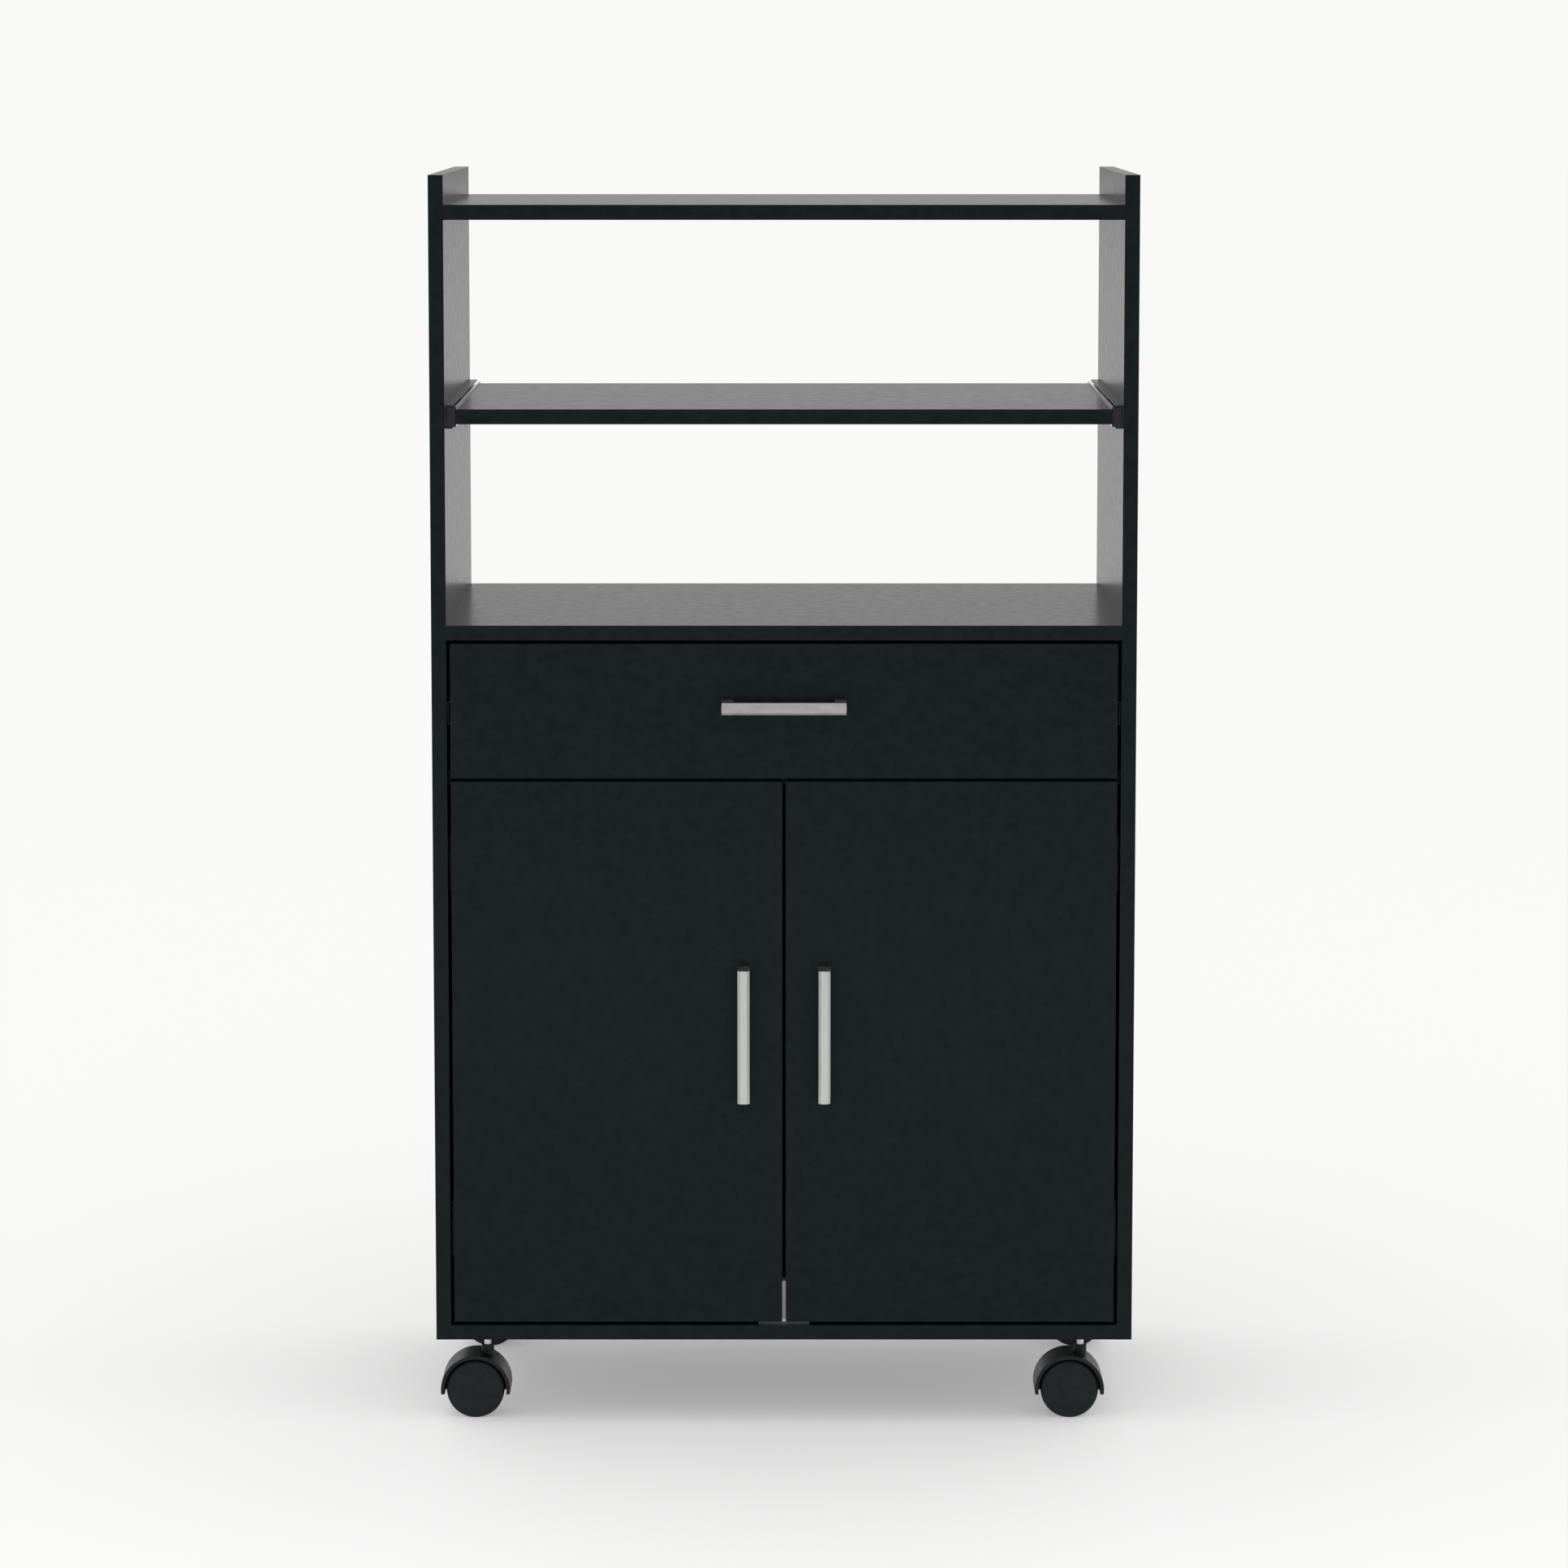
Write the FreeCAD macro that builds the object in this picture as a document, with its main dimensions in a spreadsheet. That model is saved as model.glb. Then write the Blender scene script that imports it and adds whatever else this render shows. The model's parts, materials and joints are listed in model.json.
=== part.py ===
"""Microwave stand with a pull-out shelf, a drawer, two doors and four casters.

The frame: +X to the right, +Y to the back, +Z up, in millimetres. The origin is on the
floor, under the middle of the stand with its pulls. The front faces -Y.
"""
import FreeCAD, Part
import os
from types import SimpleNamespace

import Sketcher
from FreeCAD import Placement, Rotation, Vector

SIZES = {
    # Carcass
    "width": 600,
    "depth": 400,
    "board": 12.7,
    "caster_height": 75,
    "body_height": 1000,
    "side_rise": 25,
    "upper_bay": 159.5,
    "lower_bay": 171,
    "back_board": 3,
    "back_inset": 12,
    "groove_depth": 5,
    "groove_play": 0.2,
    "rail_depth": 70,
    "rail_setback": 2,
    "inner_shelf_height": 320,
    "inner_shelf_depth": 340,
    "inner_shelf_play": 1,
    # Gaps and fits
    "front_gap": 3,
    "fit": 0.05,
    "tip_play": 0.5,
    # Board joints
    "cam_radius": 7.5,
    "cam_depth": 10,
    "cam_reach": 24,
    "front_cam_inset": 85,
    "rear_cam_inset": 35,
    "bolt_radius": 3,
    "bolt_bite": 9,
    "dowel_radius": 3,
    "dowel_bite": 9,
    "dowel_reach": 20,
    "dowel_step": 35,
    "pin_radius": 2.5,
    "pin_bite": 8,
    "pin_reach": 8,
    "pin_inset": 40,
    "pin_hole_step": 32,
    # Slides
    "slide_height": 20,
    "slide_depth": 6.7,
    "slide_steel": 1.2,
    "slide_room": 9.7,
    "slide_inset": 1,
    "inner_web_height": 17,
    "inner_web": 1.5,
    "inner_start": 3,
    "ball_radius": 1.5,
    "cage_end_play": 4,
    "cage_strip": 0.9,
    "cap_thickness": 3,
    "cap_play": 0.3,
    "slide_drop": 6.5,
    "pullout_travel": 270,
    "drawer_travel": 250,
    "screw_radius": 1.75,
    "screw_head_radius": 3.2,
    "screw_head": 1.2,
    "screw_bite": 10,
    "screw_inset": 35,
    # Drawer
    "drawer_front_height": 115,
    "drawer_board": 12,
    "drawer_box_height": 85,
    "drawer_box_lift": 12,
    "drawer_box_length": 352,
    "drawer_floor": 3,
    "drawer_floor_lift": 8,
    "drawer_joint_inset": 18,
    "drawer_screw_bite": 18,
    # Pulls
    "pull_reach": 28,
    "pull_length": 106,
    "door_pull_length": 115,
    "pull_leg": 10,
    "pull_height": 10.5,
    "pull_bar": 8,
    "pull_edge": 2.4,
    "pull_screw_radius": 2,
    "pull_screw_bite": 12,
    "pull_screw_head_radius": 4,
    "pull_screw_head": 2,
    "drawer_pull_rise": 4.6,
    "door_pull_inset": 33,
    "door_pull_height": 343.6,
    # Hinges
    "hinge_inset": 75,
    "axis_in": 5,
    "axis_back": 4,
    "cup_radius": 17.5,
    "cup_wall": 1.2,
    "cup_depth": 11,
    "cup_edge": 3,
    "cup_flange": 1,
    "cup_flange_width": 18,
    "cup_flange_height": 56,
    "cup_screw_bite": 9,
    "link_in": 26.8,
    "link_back": 6.7,
    "link_length": 13.5,
    "link_steel": 1.4,
    "link_width": 8,
    "knuckle_radius": 2.2,
    "knuckle_pin": 1,
    "arm_width": 13,
    "arm_steel": 1.5,
    "arm_back": 17,
    "arm_height": 8,
    "arm_end": 4,
    "arm_slot": 4.3,
    "plate_height": 48,
    "plate_length": 30,
    "plate_thickness": 3,
    "plate_start": 34,
    "plate_screw_step": 32,
    # Catch
    "catch_width": 44,
    "catch_height": 35.8,
    "catch_length": 16,
    "catch_gap": 1.8,
    "catch_foot": 12,
    "catch_foot_thickness": 3,
    "catch_screw_bite": 9,
    "catch_screw_spread": 28,
    "strike_thickness": 1.2,
    "strike_width": 14,
    "strike_height": 26,
    # Casters
    "stem_inset": 42,
    "front_stem_inset": 45,
    "rear_stem_inset": 75,
    "stem_radius": 3,
    "boss_radius": 5.5,
    "boss_top": 61,
    "socket_flange": 2,
    "socket_flange_radius": 12,
    "socket_radius": 6,
    "socket_height": 11,
    "stem_bite": 10,
    "trail": 10,
    "wheel_radius": 25,
    "wheel_width": 18,
    "wheel_edge": 2.5,
    "wheel_gap": 2,
    "hood_wall": 3,
    "hood_drop": 4,
    "hood_web": 3,
    "hood_lip": 1.5,
    "side_play": 0.5,
    "axle_radius": 3,
    "wheel_face": 3,
    "stem_seat": 10,
}

BALLS = 5

# Two places nearer than this are the same place.
TOUCHING = 0.01

# A pocket that removes less than this cuts nothing, in cubic millimetres.
LEAST_CUT = 0.01

# The direction in which a left hinge's link points when its door is shut, in degrees.
LINK_REST = 14.4

# How far each rear caster has turned from the front casters' direction, in degrees.
SWIVELS = {"front_left": 0, "front_right": 0, "rear_left": -5, "rear_right": 175}

doc = FreeCAD.newDocument("microwave_stand")
sheet = doc.addObject("Spreadsheet::Sheet", "sizes")
layout = doc.addObject("App::VarSet", "layout")
pieces = []


class Length:
    """A length that keeps its formula, so that a feature can be bound to it."""

    def __init__(self, formula, value):
        self.formula = formula
        self.value = value

    def __add__(self, other):
        return combine(self, "+", other, lambda a, b: a + b)

    def __radd__(self, other):
        return combine(other, "+", self, lambda a, b: a + b)

    def __sub__(self, other):
        return combine(self, "-", other, lambda a, b: a - b)

    def __rsub__(self, other):
        return combine(other, "-", self, lambda a, b: a - b)

    def __mul__(self, other):
        return combine(self, "*", other, lambda a, b: a * b)

    def __rmul__(self, other):
        return combine(other, "*", self, lambda a, b: a * b)

    def __truediv__(self, other):
        return combine(self, "/", other, lambda a, b: a / b)

    def __neg__(self):
        return combine(0, "-", self, lambda a, b: a - b)


def as_length(value):
    """Give a plain number the form of a length."""
    if isinstance(value, Length):
        return value
    return Length(f"({value})", value)


def combine(first, sign, second, work):
    """Join two lengths into one, formula and value alike."""
    first = as_length(first)
    second = as_length(second)
    return Length(f"({first.formula} {sign} {second.formula})", work(first.value, second.value))


def fill_sheet():
    """Write every driving size to the sheet and return them by name."""
    lengths = {}
    for row, (name, value) in enumerate(SIZES.items(), start=1):
        sheet.set(f"A{row}", name)
        sheet.set(f"B{row}", str(value))
        sheet.setAlias(f"B{row}", name)
        lengths[name] = Length(f"sizes.{name}", value)
    doc.recompute()
    return SimpleNamespace(**lengths)


def derive(name, length):
    """Name a size that follows from others, so that later formulas stay short."""
    layout.addProperty("App::PropertyFloat", name)
    layout.setExpression(name, length.formula)
    return Length(f"layout.{name}", length.value)


def bind(item, name, length):
    """Bind one property of an object to a length."""
    item.setExpression(name, as_length(length).formula)


# Sketches and the features made from them. A span is a (start, end) pair.

PLANES = {"x": "YZ_Plane", "y": "XZ_Plane", "z": "XY_Plane"}


def polygon(*points):
    """An outline through points, each held at its own distances from the origin."""
    def draw(sketch):
        first = sketch.GeometryCount
        corners = [(as_length(across), as_length(up)) for across, up in points]
        count = len(corners)
        for number in range(count):
            start = Vector(corners[number][0].value, corners[number][1].value, 0)
            following = corners[(number + 1) % count]
            end = Vector(following[0].value, following[1].value, 0)
            sketch.addGeometry(Part.LineSegment(start, end), False)
        for number in range(count):
            following = first + (number + 1) % count
            sketch.addConstraint(Sketcher.Constraint("Coincident", first + number, 2, following, 1))
            hold(sketch, first + number, 1, corners[number])
    return draw


def rectangle(across, up):
    """A rectangle between two spans."""
    left, right = across
    low, high = up
    return polygon((left, low), (right, low), (right, high), (left, high))


def circle(centre, radius):
    """A circle held by its centre and radius."""
    def draw(sketch):
        across, up = as_length(centre[0]), as_length(centre[1])
        middle = Vector(across.value, up.value, 0)
        number = sketch.addGeometry(Part.Circle(middle, Vector(0, 0, 1), as_length(radius).value), False)
        hold(sketch, number, 3, (across, up))
        constraint = sketch.addConstraint(Sketcher.Constraint("Radius", number, as_length(radius).value))
        bind(sketch, f"Constraints[{constraint}]", radius)
    return draw


def hold(sketch, number, vertex, place):
    """Hold one vertex at its distances from the sketch's origin."""
    for kind, length in zip(("DistanceX", "DistanceY"), place):
        constraint = sketch.addConstraint(Sketcher.Constraint(kind, -1, 1, number, vertex, length.value))
        bind(sketch, f"Constraints[{constraint}]", length)


def sketch_across(body, axis, at, outlines):
    """A sketch square to an axis of its body, at a place along that axis."""
    sketch = body.newObject("Sketcher::SketchObject", "outline")
    plane = [item for item in body.Origin.OriginFeatures if item.Role == PLANES[axis]][0]
    sketch.AttachmentSupport = (plane, [""])
    sketch.MapMode = "FlatFace"
    at = as_length(at)
    bind(sketch, "AttachmentOffset.Base.z", -at if axis == "y" else at)
    for draw in outlines:
        draw(sketch)
    return sketch


def new_body(label):
    """Start a piece that is made from sketches."""
    body = doc.addObject("PartDesign::Body", label)
    return keep(body, label)


def keep(item, label):
    """Name a finished piece and list it for export."""
    item.Label = label
    pieces.append(item)
    return item


def pad(body, axis, span, *outlines):
    """Add material over a span; the XZ plane's normal points to -Y."""
    start, end = span
    profile = sketch_across(body, axis, end if axis == "y" else start, outlines)
    feature = body.newObject("PartDesign::Pad", "pad")
    feature.Profile = profile
    bind(feature, "Length", end - start)
    return feature


def pocket(body, axis, span, *outlines):
    """Remove material over a span."""
    start, end = span
    profile = sketch_across(body, axis, start if axis == "y" else end, outlines)
    feature = body.newObject("PartDesign::Pocket", "pocket")
    feature.Profile = profile
    bind(feature, "Length", end - start)
    return feature


def board(label, x, y, z):
    """A board between three spans."""
    body = new_body(label)
    pad(body, "z", z, rectangle(x, y))
    return body


# Primitives

TURNS = {
    "x": Rotation(Vector(0, 1, 0), 90),
    "y": Rotation(Vector(1, 0, 0), -90),
    "z": Rotation(),
}


def set_base(item, x, y, z):
    """Bind an object's place."""
    for name, length in zip("xyz", (x, y, z)):
        bind(item, f"Placement.Base.{name}", length)


def spot(axis, along, centre):
    """The point at a distance along an axis, with the other two coordinates in order."""
    first, second = centre
    return {"x": (along, first, second), "y": (first, along, second), "z": (first, second, along)}[axis]


def block(x, y, z):
    """A box between three spans."""
    item = doc.addObject("Part::Box", "block")
    for name, span in zip(("Length", "Width", "Height"), (x, y, z)):
        bind(item, name, span[1] - span[0])
    set_base(item, x[0], y[0], z[0])
    return item


def rod(axis, span, centre, radius):
    """A cylinder along an axis."""
    item = doc.addObject("Part::Cylinder", "rod")
    bind(item, "Radius", radius)
    bind(item, "Height", span[1] - span[0])
    item.Placement = Placement(Vector(), TURNS[axis])
    set_base(item, *spot(axis, span[0], centre))
    return item


def ball(x, y, z, radius):
    """A sphere."""
    item = doc.addObject("Part::Sphere", "ball")
    bind(item, "Radius", radius)
    set_base(item, x, y, z)
    return item


def fuse(items, label="joined"):
    """Join solids; those that don't touch stay separate in the result."""
    item = doc.addObject("Part::MultiFuse", label)
    item.Shapes = items
    return item


def cut(base, tools, label="cut"):
    """Take tools away from a solid."""
    item = doc.addObject("Part::Cut", label)
    item.Base = base
    item.Tool = tools[0] if len(tools) == 1 else fuse(tools)
    return item


def group(label, items):
    """A node that holds several alike solids."""
    return keep(fuse(items, label), label)


size = fill_sheet()

# Heights and places that follow from the sizes.
front = derive("front", (size.pull_reach - size.depth) / 2)
rear = derive("rear", front + size.depth)
inner = derive("inner", size.width / 2 - size.board)
top = derive("top", size.caster_height + size.body_height)
floor_top = derive("floor_top", size.caster_height + size.board)
shelf_top = derive("shelf_top", top - size.side_rise)
pullout_top = derive("pullout_top", shelf_top - size.board - size.upper_bay)
worktop_top = derive("worktop_top", pullout_top - size.board - size.lower_bay)
worktop_under = derive("worktop_under", worktop_top - size.board)
drawer_top = derive("drawer_top", worktop_under - size.front_gap)
drawer_low = derive("drawer_low", drawer_top - size.drawer_front_height)
door_top = derive("door_top", drawer_low - size.front_gap)
door_low = derive("door_low", floor_top + size.front_gap)
front_back = derive("front_back", front + size.board)
back_face = derive("back_face", rear - size.back_inset - size.back_board)
rail_low = derive("rail_low", (drawer_low + door_top) / 2 - size.board / 2)
rail_front = derive("rail_front", front_back + size.rail_setback)
box_side = derive("box_side", inner - size.slide_room)
box_low = derive("box_low", drawer_low + size.drawer_box_lift)
box_top = derive("box_top", box_low + size.drawer_box_height)
box_rear = derive("box_rear", front_back + size.drawer_box_length)
box_floor = derive("box_floor", box_low + size.drawer_floor_lift)
SIDES = {"left": -1, "right": 1}


def mirror(side, near, far):
    """The span between two distances from the middle, on one side of it."""
    return (near, far) if side > 0 else (-far, -near)


def off_side(side, near, far):
    """The span between two distances from a side panel's inner face."""
    return mirror(side, inner - far, inner - near)


def around(middle, half):
    """The span that reaches as far to each side of a middle."""
    return (middle - half, middle + half)


def both(half):
    """The span that reaches as far to the left as to the right."""
    return (-half, half)


def drill(body, axis, span, centres, radius):
    """Holes of one size, side by side."""
    return pocket(body, axis, span, *[circle(centre, radius) for centre in centres])


# Where the fixed boards join the sides: the board's underside, its cam and its dowel rows.
front_cam = front + size.front_cam_inset
rear_cam = rear - size.rear_cam_inset
full_depth = ([front_cam, rear_cam], [front_cam + size.dowel_step, rear_cam - size.dowel_step])
rail_rows = ([rail_front + size.rail_depth / 4], [rail_front + size.rail_depth * 3 / 4])
JOINTS = {
    "top_shelf": (shelf_top - size.board, full_depth),
    "worktop": (worktop_under, full_depth),
    "cross_rail": (rail_low, rail_rows),
    "bottom_panel": (size.caster_height, full_depth),
}

# Inner shelf and its pins
inner_shelf_rear = derive("inner_shelf_rear", back_face - size.inner_shelf_play)
inner_shelf_front = derive("inner_shelf_front", inner_shelf_rear - size.inner_shelf_depth)
pin_columns = [inner_shelf_front + size.pin_inset, inner_shelf_rear - size.pin_inset]
pin_level = derive("pin_level", size.inner_shelf_height - size.pin_radius)

# Slides: where each pair starts, ends and is centred, and how far it travels.
SLIDES = {
    "pullout": SimpleNamespace(
        start=derive("pullout_rail_start", front + size.slide_inset),
        end=derive("pullout_rail_end", rear - size.slide_inset),
        centre=derive("pullout_rail_centre", pullout_top - size.slide_drop),
        travel=size.pullout_travel,
    ),
    "drawer": SimpleNamespace(
        start=derive("drawer_rail_start", front_back + size.slide_inset),
        end=derive("drawer_rail_end", box_rear - size.slide_inset),
        centre=derive("drawer_rail_centre", (box_low + box_top) / 2),
        travel=size.drawer_travel,
    ),
}

# Hinges and casters
hinge_levels = [door_low + size.hinge_inset, door_top - size.hinge_inset]
plate_mid = derive("plate_mid", front + size.plate_start + size.plate_length / 2)
half_spread = derive("half_spread", size.width / 2 - size.stem_inset)
CASTERS = {
    "front_left": (-half_spread, front + size.front_stem_inset),
    "front_right": (half_spread, front + size.front_stem_inset),
    "rear_left": (-half_spread, rear - size.rear_stem_inset),
    "rear_right": (half_spread, rear - size.rear_stem_inset),
}


def slide_screw_rows(slide):
    """Where a slide's screws stand along it."""
    return [slide.start + size.screw_inset, (slide.start + slide.end) / 2, slide.end - size.screw_inset]


def plate_screws():
    """The screws that hold the hinge plates, as depths and heights."""
    half = size.plate_screw_step / 2
    return [(plate_mid, level + sign * half) for level in hinge_levels for sign in (-1, 1)]


# Carcass

def side_panel(label, side):
    """A side, drilled for the boards, the slides, the hinges and the shelf pins."""
    body = new_body(label)
    pad(body, "x", mirror(side, inner, size.width / 2), rectangle((front, rear), (size.caster_height, top)))

    def bore(centres, radius, depth):
        drill(body, "x", mirror(side, inner, inner + depth), centres, radius)

    bolts = [(y, low + size.board / 2) for low, rows in JOINTS.values() for y in rows[0]]
    dowels = [(y, low + size.board / 2) for low, rows in JOINTS.values() for y in rows[1]]
    bore(bolts, size.bolt_radius + size.fit, size.bolt_bite + size.tip_play)
    bore(dowels, size.dowel_radius + size.fit, size.dowel_bite + size.tip_play)
    runners = [(y, slide.centre) for slide in SLIDES.values() for y in slide_screw_rows(slide)]
    bore(runners + plate_screws(), size.screw_radius + size.fit, size.screw_bite + size.tip_play)
    levels = [pin_level + step * size.pin_hole_step for step in (-2, -1, 0, 1, 2)]
    pins = [(y, level) for y in pin_columns for level in levels]
    bore(pins, size.pin_radius + size.fit, size.pin_bite + size.tip_play)
    groove = (back_face - size.groove_play, rear - size.back_inset)
    edges = (floor_top - size.groove_depth, worktop_under + size.groove_depth)
    pocket(body, "x", mirror(side, inner, inner + size.groove_depth), rectangle(groove, edges))
    return body


def fixed_board(label, y):
    """A board held between the sides by cams, bolts and dowels."""
    low, (cam_rows, dowel_rows) = JOINTS[label]
    body = board(label, both(inner), y, (low, low + size.board))
    middle = low + size.board / 2
    for side in SIDES.values():
        cams = [(side * (inner - size.cam_reach), row) for row in cam_rows]
        drill(body, "z", (low, low + size.cam_depth), cams, size.cam_radius + size.fit)
        bolt_span = off_side(side, 0, size.cam_reach)
        drill(body, "x", bolt_span, [(row, middle) for row in cam_rows], size.bolt_radius + size.fit)
        dowel_span = off_side(side, 0, size.dowel_reach + size.tip_play)
        drill(body, "x", dowel_span, [(row, middle) for row in dowel_rows], size.dowel_radius + size.fit)
    return body


def back_groove(body, z):
    """The groove that the hardboard back stands in."""
    pocket(body, "z", z, rectangle(both(inner), (back_face - size.groove_play, rear - size.back_inset)))


def carcass_boards():
    """The sides and the boards between them."""
    side_panel("left_side_panel", -1)
    side_panel("right_side_panel", 1)
    fixed_board("top_shelf", (front, rear))
    worktop = fixed_board("worktop", (front, rear))
    back_groove(worktop, (worktop_under, worktop_under + size.groove_depth))
    fixed_board("cross_rail", (rail_front, rail_front + size.rail_depth))
    bottom = fixed_board("bottom_panel", (front, rear))
    back_groove(bottom, (floor_top - size.groove_depth, floor_top))
    sockets = (size.caster_height, size.caster_height + size.socket_height + size.tip_play)
    drill(bottom, "z", sockets, CASTERS.values(), size.socket_radius + size.fit)
    foot = (floor_top - size.catch_screw_bite, floor_top)
    drill(bottom, "z", foot, catch_screw_places(), size.screw_radius + size.fit)
    width = both(inner + size.groove_depth - size.groove_play)
    heights = (floor_top - size.groove_depth, worktop_under + size.groove_depth - size.groove_play)
    board("back_panel", width, (back_face, rear - size.back_inset), heights)
    thickness = (size.inner_shelf_height, size.inner_shelf_height + size.board)
    board("inner_shelf", both(inner - size.inner_shelf_play), (inner_shelf_front, inner_shelf_rear), thickness)


def board_fasteners():
    """Cams, bolts, dowels and shelf pins."""
    cams, bolts, dowels, pins = [], [], [], []
    for low, (cam_rows, dowel_rows) in JOINTS.values():
        middle = low + size.board / 2
        for side in SIDES.values():
            for row in cam_rows:
                centre = (side * (inner - size.cam_reach), row)
                cam = rod("z", (low, low + size.cam_depth), centre, size.cam_radius)
                mouth = off_side(side, size.cam_reach - size.cam_radius - size.fit, size.cam_reach + size.fit)
                cams.append(cut(cam, [rod("x", mouth, (row, middle), size.bolt_radius + size.fit)]))
                bolt = mirror(side, inner - size.cam_reach, inner + size.bolt_bite)
                bolts.append(rod("x", bolt, (row, middle), size.bolt_radius))
            for row in dowel_rows:
                dowel = mirror(side, inner - size.dowel_reach, inner + size.dowel_bite)
                dowels.append(rod("x", dowel, (row, middle), size.dowel_radius))
    for side in SIDES.values():
        for column in pin_columns:
            span = mirror(side, inner - size.pin_reach, inner + size.pin_bite)
            pins.append(rod("x", span, (column, pin_level), size.pin_radius))
    group("cam_locks", cams)
    group("cam_bolts", bolts)
    group("dowels", dowels)
    group("shelf_pins", pins)


# Slides

def slide_outer(side, slide):
    """A channel open to the middle, screwed to the side panel."""
    half = size.slide_height / 2
    shell = block(off_side(side, 0, size.slide_depth), (slide.start, slide.end), around(slide.centre, half))
    hollow = off_side(side, size.slide_steel, size.slide_depth)
    tools = [block(hollow, (slide.start, slide.end), around(slide.centre, half - size.slide_steel))]
    for row in slide_screw_rows(slide):
        hole = off_side(side, 0, size.slide_steel)
        tools.append(rod("x", hole, (row, slide.centre), size.screw_radius + size.fit))
    return cut(shell, tools)


def flange_reach():
    """How far the inner member's flanges reach from its middle: a ball's width inside the outer."""
    return size.slide_height / 2 - size.slide_steel - 2 * (size.ball_radius + size.fit)


def slide_inner(side, slide):
    """A web on the moving board's edge, with two flanges inside the outer channel."""
    web_start = size.slide_room - size.inner_web
    web = off_side(side, web_start, size.slide_room)
    length = (slide.start + size.cap_thickness, slide.end)
    parts = [block(web, length, around(slide.centre, size.inner_web_height / 2))]
    reach = flange_reach()
    for low, high in ((-reach, size.slide_steel - reach), (reach - size.slide_steel, reach)):
        flange = off_side(side, size.inner_start, web_start)
        parts.append(block(flange, length, (slide.centre + low, slide.centre + high)))
    radius = size.screw_radius + size.fit
    holes = [rod("x", web, (row, slide.centre), radius) for row in slide_screw_rows(slide)]
    return cut(fuse(parts), holes)


def slide_cap(side, slide):
    """A plastic cap over the inner member's front end: a plug in the channel and a plate beside it."""
    web_start = size.slide_room - size.inner_web
    length = (slide.start, slide.start + size.cap_thickness)
    half = size.slide_height / 2 - size.slide_steel - size.cap_play
    plug = off_side(side, size.slide_steel + size.cap_play, web_start)
    plate = off_side(side, web_start, size.slide_room)
    return fuse([
        block(plug, length, around(slide.centre, half)),
        block(plate, length, around(slide.centre, size.inner_web_height / 2)),
    ])


def ball_cages(side, slide):
    """An upper and a lower strip of balls, half the slide's travel behind its front."""
    start = slide.start + slide.travel / 2 + size.cage_end_play
    end = slide.end - slide.travel / 2 - size.cage_end_play
    near = size.inner_start + size.cap_play
    far = size.slide_depth - size.cap_play
    raceway = flange_reach() + size.ball_radius + size.fit
    strips = []
    for sign in (-1, 1):
        level = slide.centre + sign * raceway
        parts = [block(off_side(side, near, far), (start, end), around(level, size.cage_strip / 2))]
        for number in range(BALLS):
            along = start + (end - start) * (number + 0.5) / BALLS
            parts.append(ball(side * (inner - (near + far) / 2), along, level, size.ball_radius))
        strips.append(fuse(parts))
    return strips


def slide_screws(side, slide, seat, sign):
    """Flat-headed screws along a slide, driven away from their seat."""
    screws = []
    for row in slide_screw_rows(slide):
        centre = (row, slide.centre)
        if sign < 0:
            head = off_side(side, seat, seat + size.screw_head)
            shank = off_side(side, -size.screw_bite, seat)
        else:
            head = off_side(side, seat - size.screw_head, seat)
            shank = off_side(side, seat, size.slide_room + size.screw_bite)
        head_rod = rod("x", head, centre, size.screw_head_radius)
        screws.append(fuse([head_rod, rod("x", shank, centre, size.screw_radius)]))
    return screws


def slide_nodes(name):
    """One pair of slides: outers, inners and ball cages."""
    slide = SLIDES[name]
    group(f"{name}_slide_outers", [slide_outer(side, slide) for side in SIDES.values()])
    group(f"{name}_slide_inners", [slide_inner(side, slide) for side in SIDES.values()])
    group(f"{name}_ball_cages", [strip for side in SIDES.values() for strip in ball_cages(side, slide)])


def outer_screws(name):
    """The screws that hold a pair of outer members to the side panels."""
    slide = SLIDES[name]
    return [screw for side in SIDES.values() for screw in slide_screws(side, slide, size.slide_steel, -1)]


def inner_screws(name):
    """The screws that hold a pair of inner members to the board that they carry."""
    slide = SLIDES[name]
    seat = size.slide_room - size.inner_web
    return [screw for side in SIDES.values() for screw in slide_screws(side, slide, seat, 1)]


def pull_out_shelf():
    """The board that rides on the upper slides."""
    slide = SLIDES["pullout"]
    shelf = board("pull_out_shelf", both(box_side), (front, rear), (pullout_top - size.board, pullout_top))
    for side in SIDES.values():
        span = off_side(side, size.slide_room, size.slide_room + size.screw_bite + size.tip_play)
        centres = [(row, slide.centre) for row in slide_screw_rows(slide)]
        drill(shelf, "x", span, centres, size.screw_radius + size.fit)
    group("pullout_slide_caps", [slide_cap(side, slide) for side in SIDES.values()])
    group("pullout_shelf_screws", inner_screws("pullout"))


# Pulls: a bar on two legs, its long front edges chamfered. "along" is the axis that the bar follows.

def pull(label, along, middle, level, length):
    """A U-shaped bar on the front plane, with a screw hole in each leg."""
    body = new_body(label)
    centre, across = (middle, level) if along == "x" else (level, middle)
    half = length / 2
    start, end = centre - half, centre + half
    outer = front - size.pull_reach
    inside = outer + size.pull_bar
    far_leg, near_leg = end - size.pull_leg, start + size.pull_leg
    shape = [
        (start, front), (start, outer), (end, outer), (end, front),
        (far_leg, front), (far_leg, inside), (near_leg, inside), (near_leg, front),
    ]
    thickness = around(across, size.pull_height / 2)
    if along == "x":
        pad(body, "z", thickness, polygon(*shape))
    else:
        pad(body, "x", thickness, polygon(*[(y, z) for z, y in shape]))
    depth = (front - size.pull_screw_bite - size.tip_play, front)
    places = pull_screw_places(along, middle, level, length)
    drill(body, "y", depth, places, size.pull_screw_radius + size.fit)
    chamfer_front(body, outer)
    return body


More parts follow.
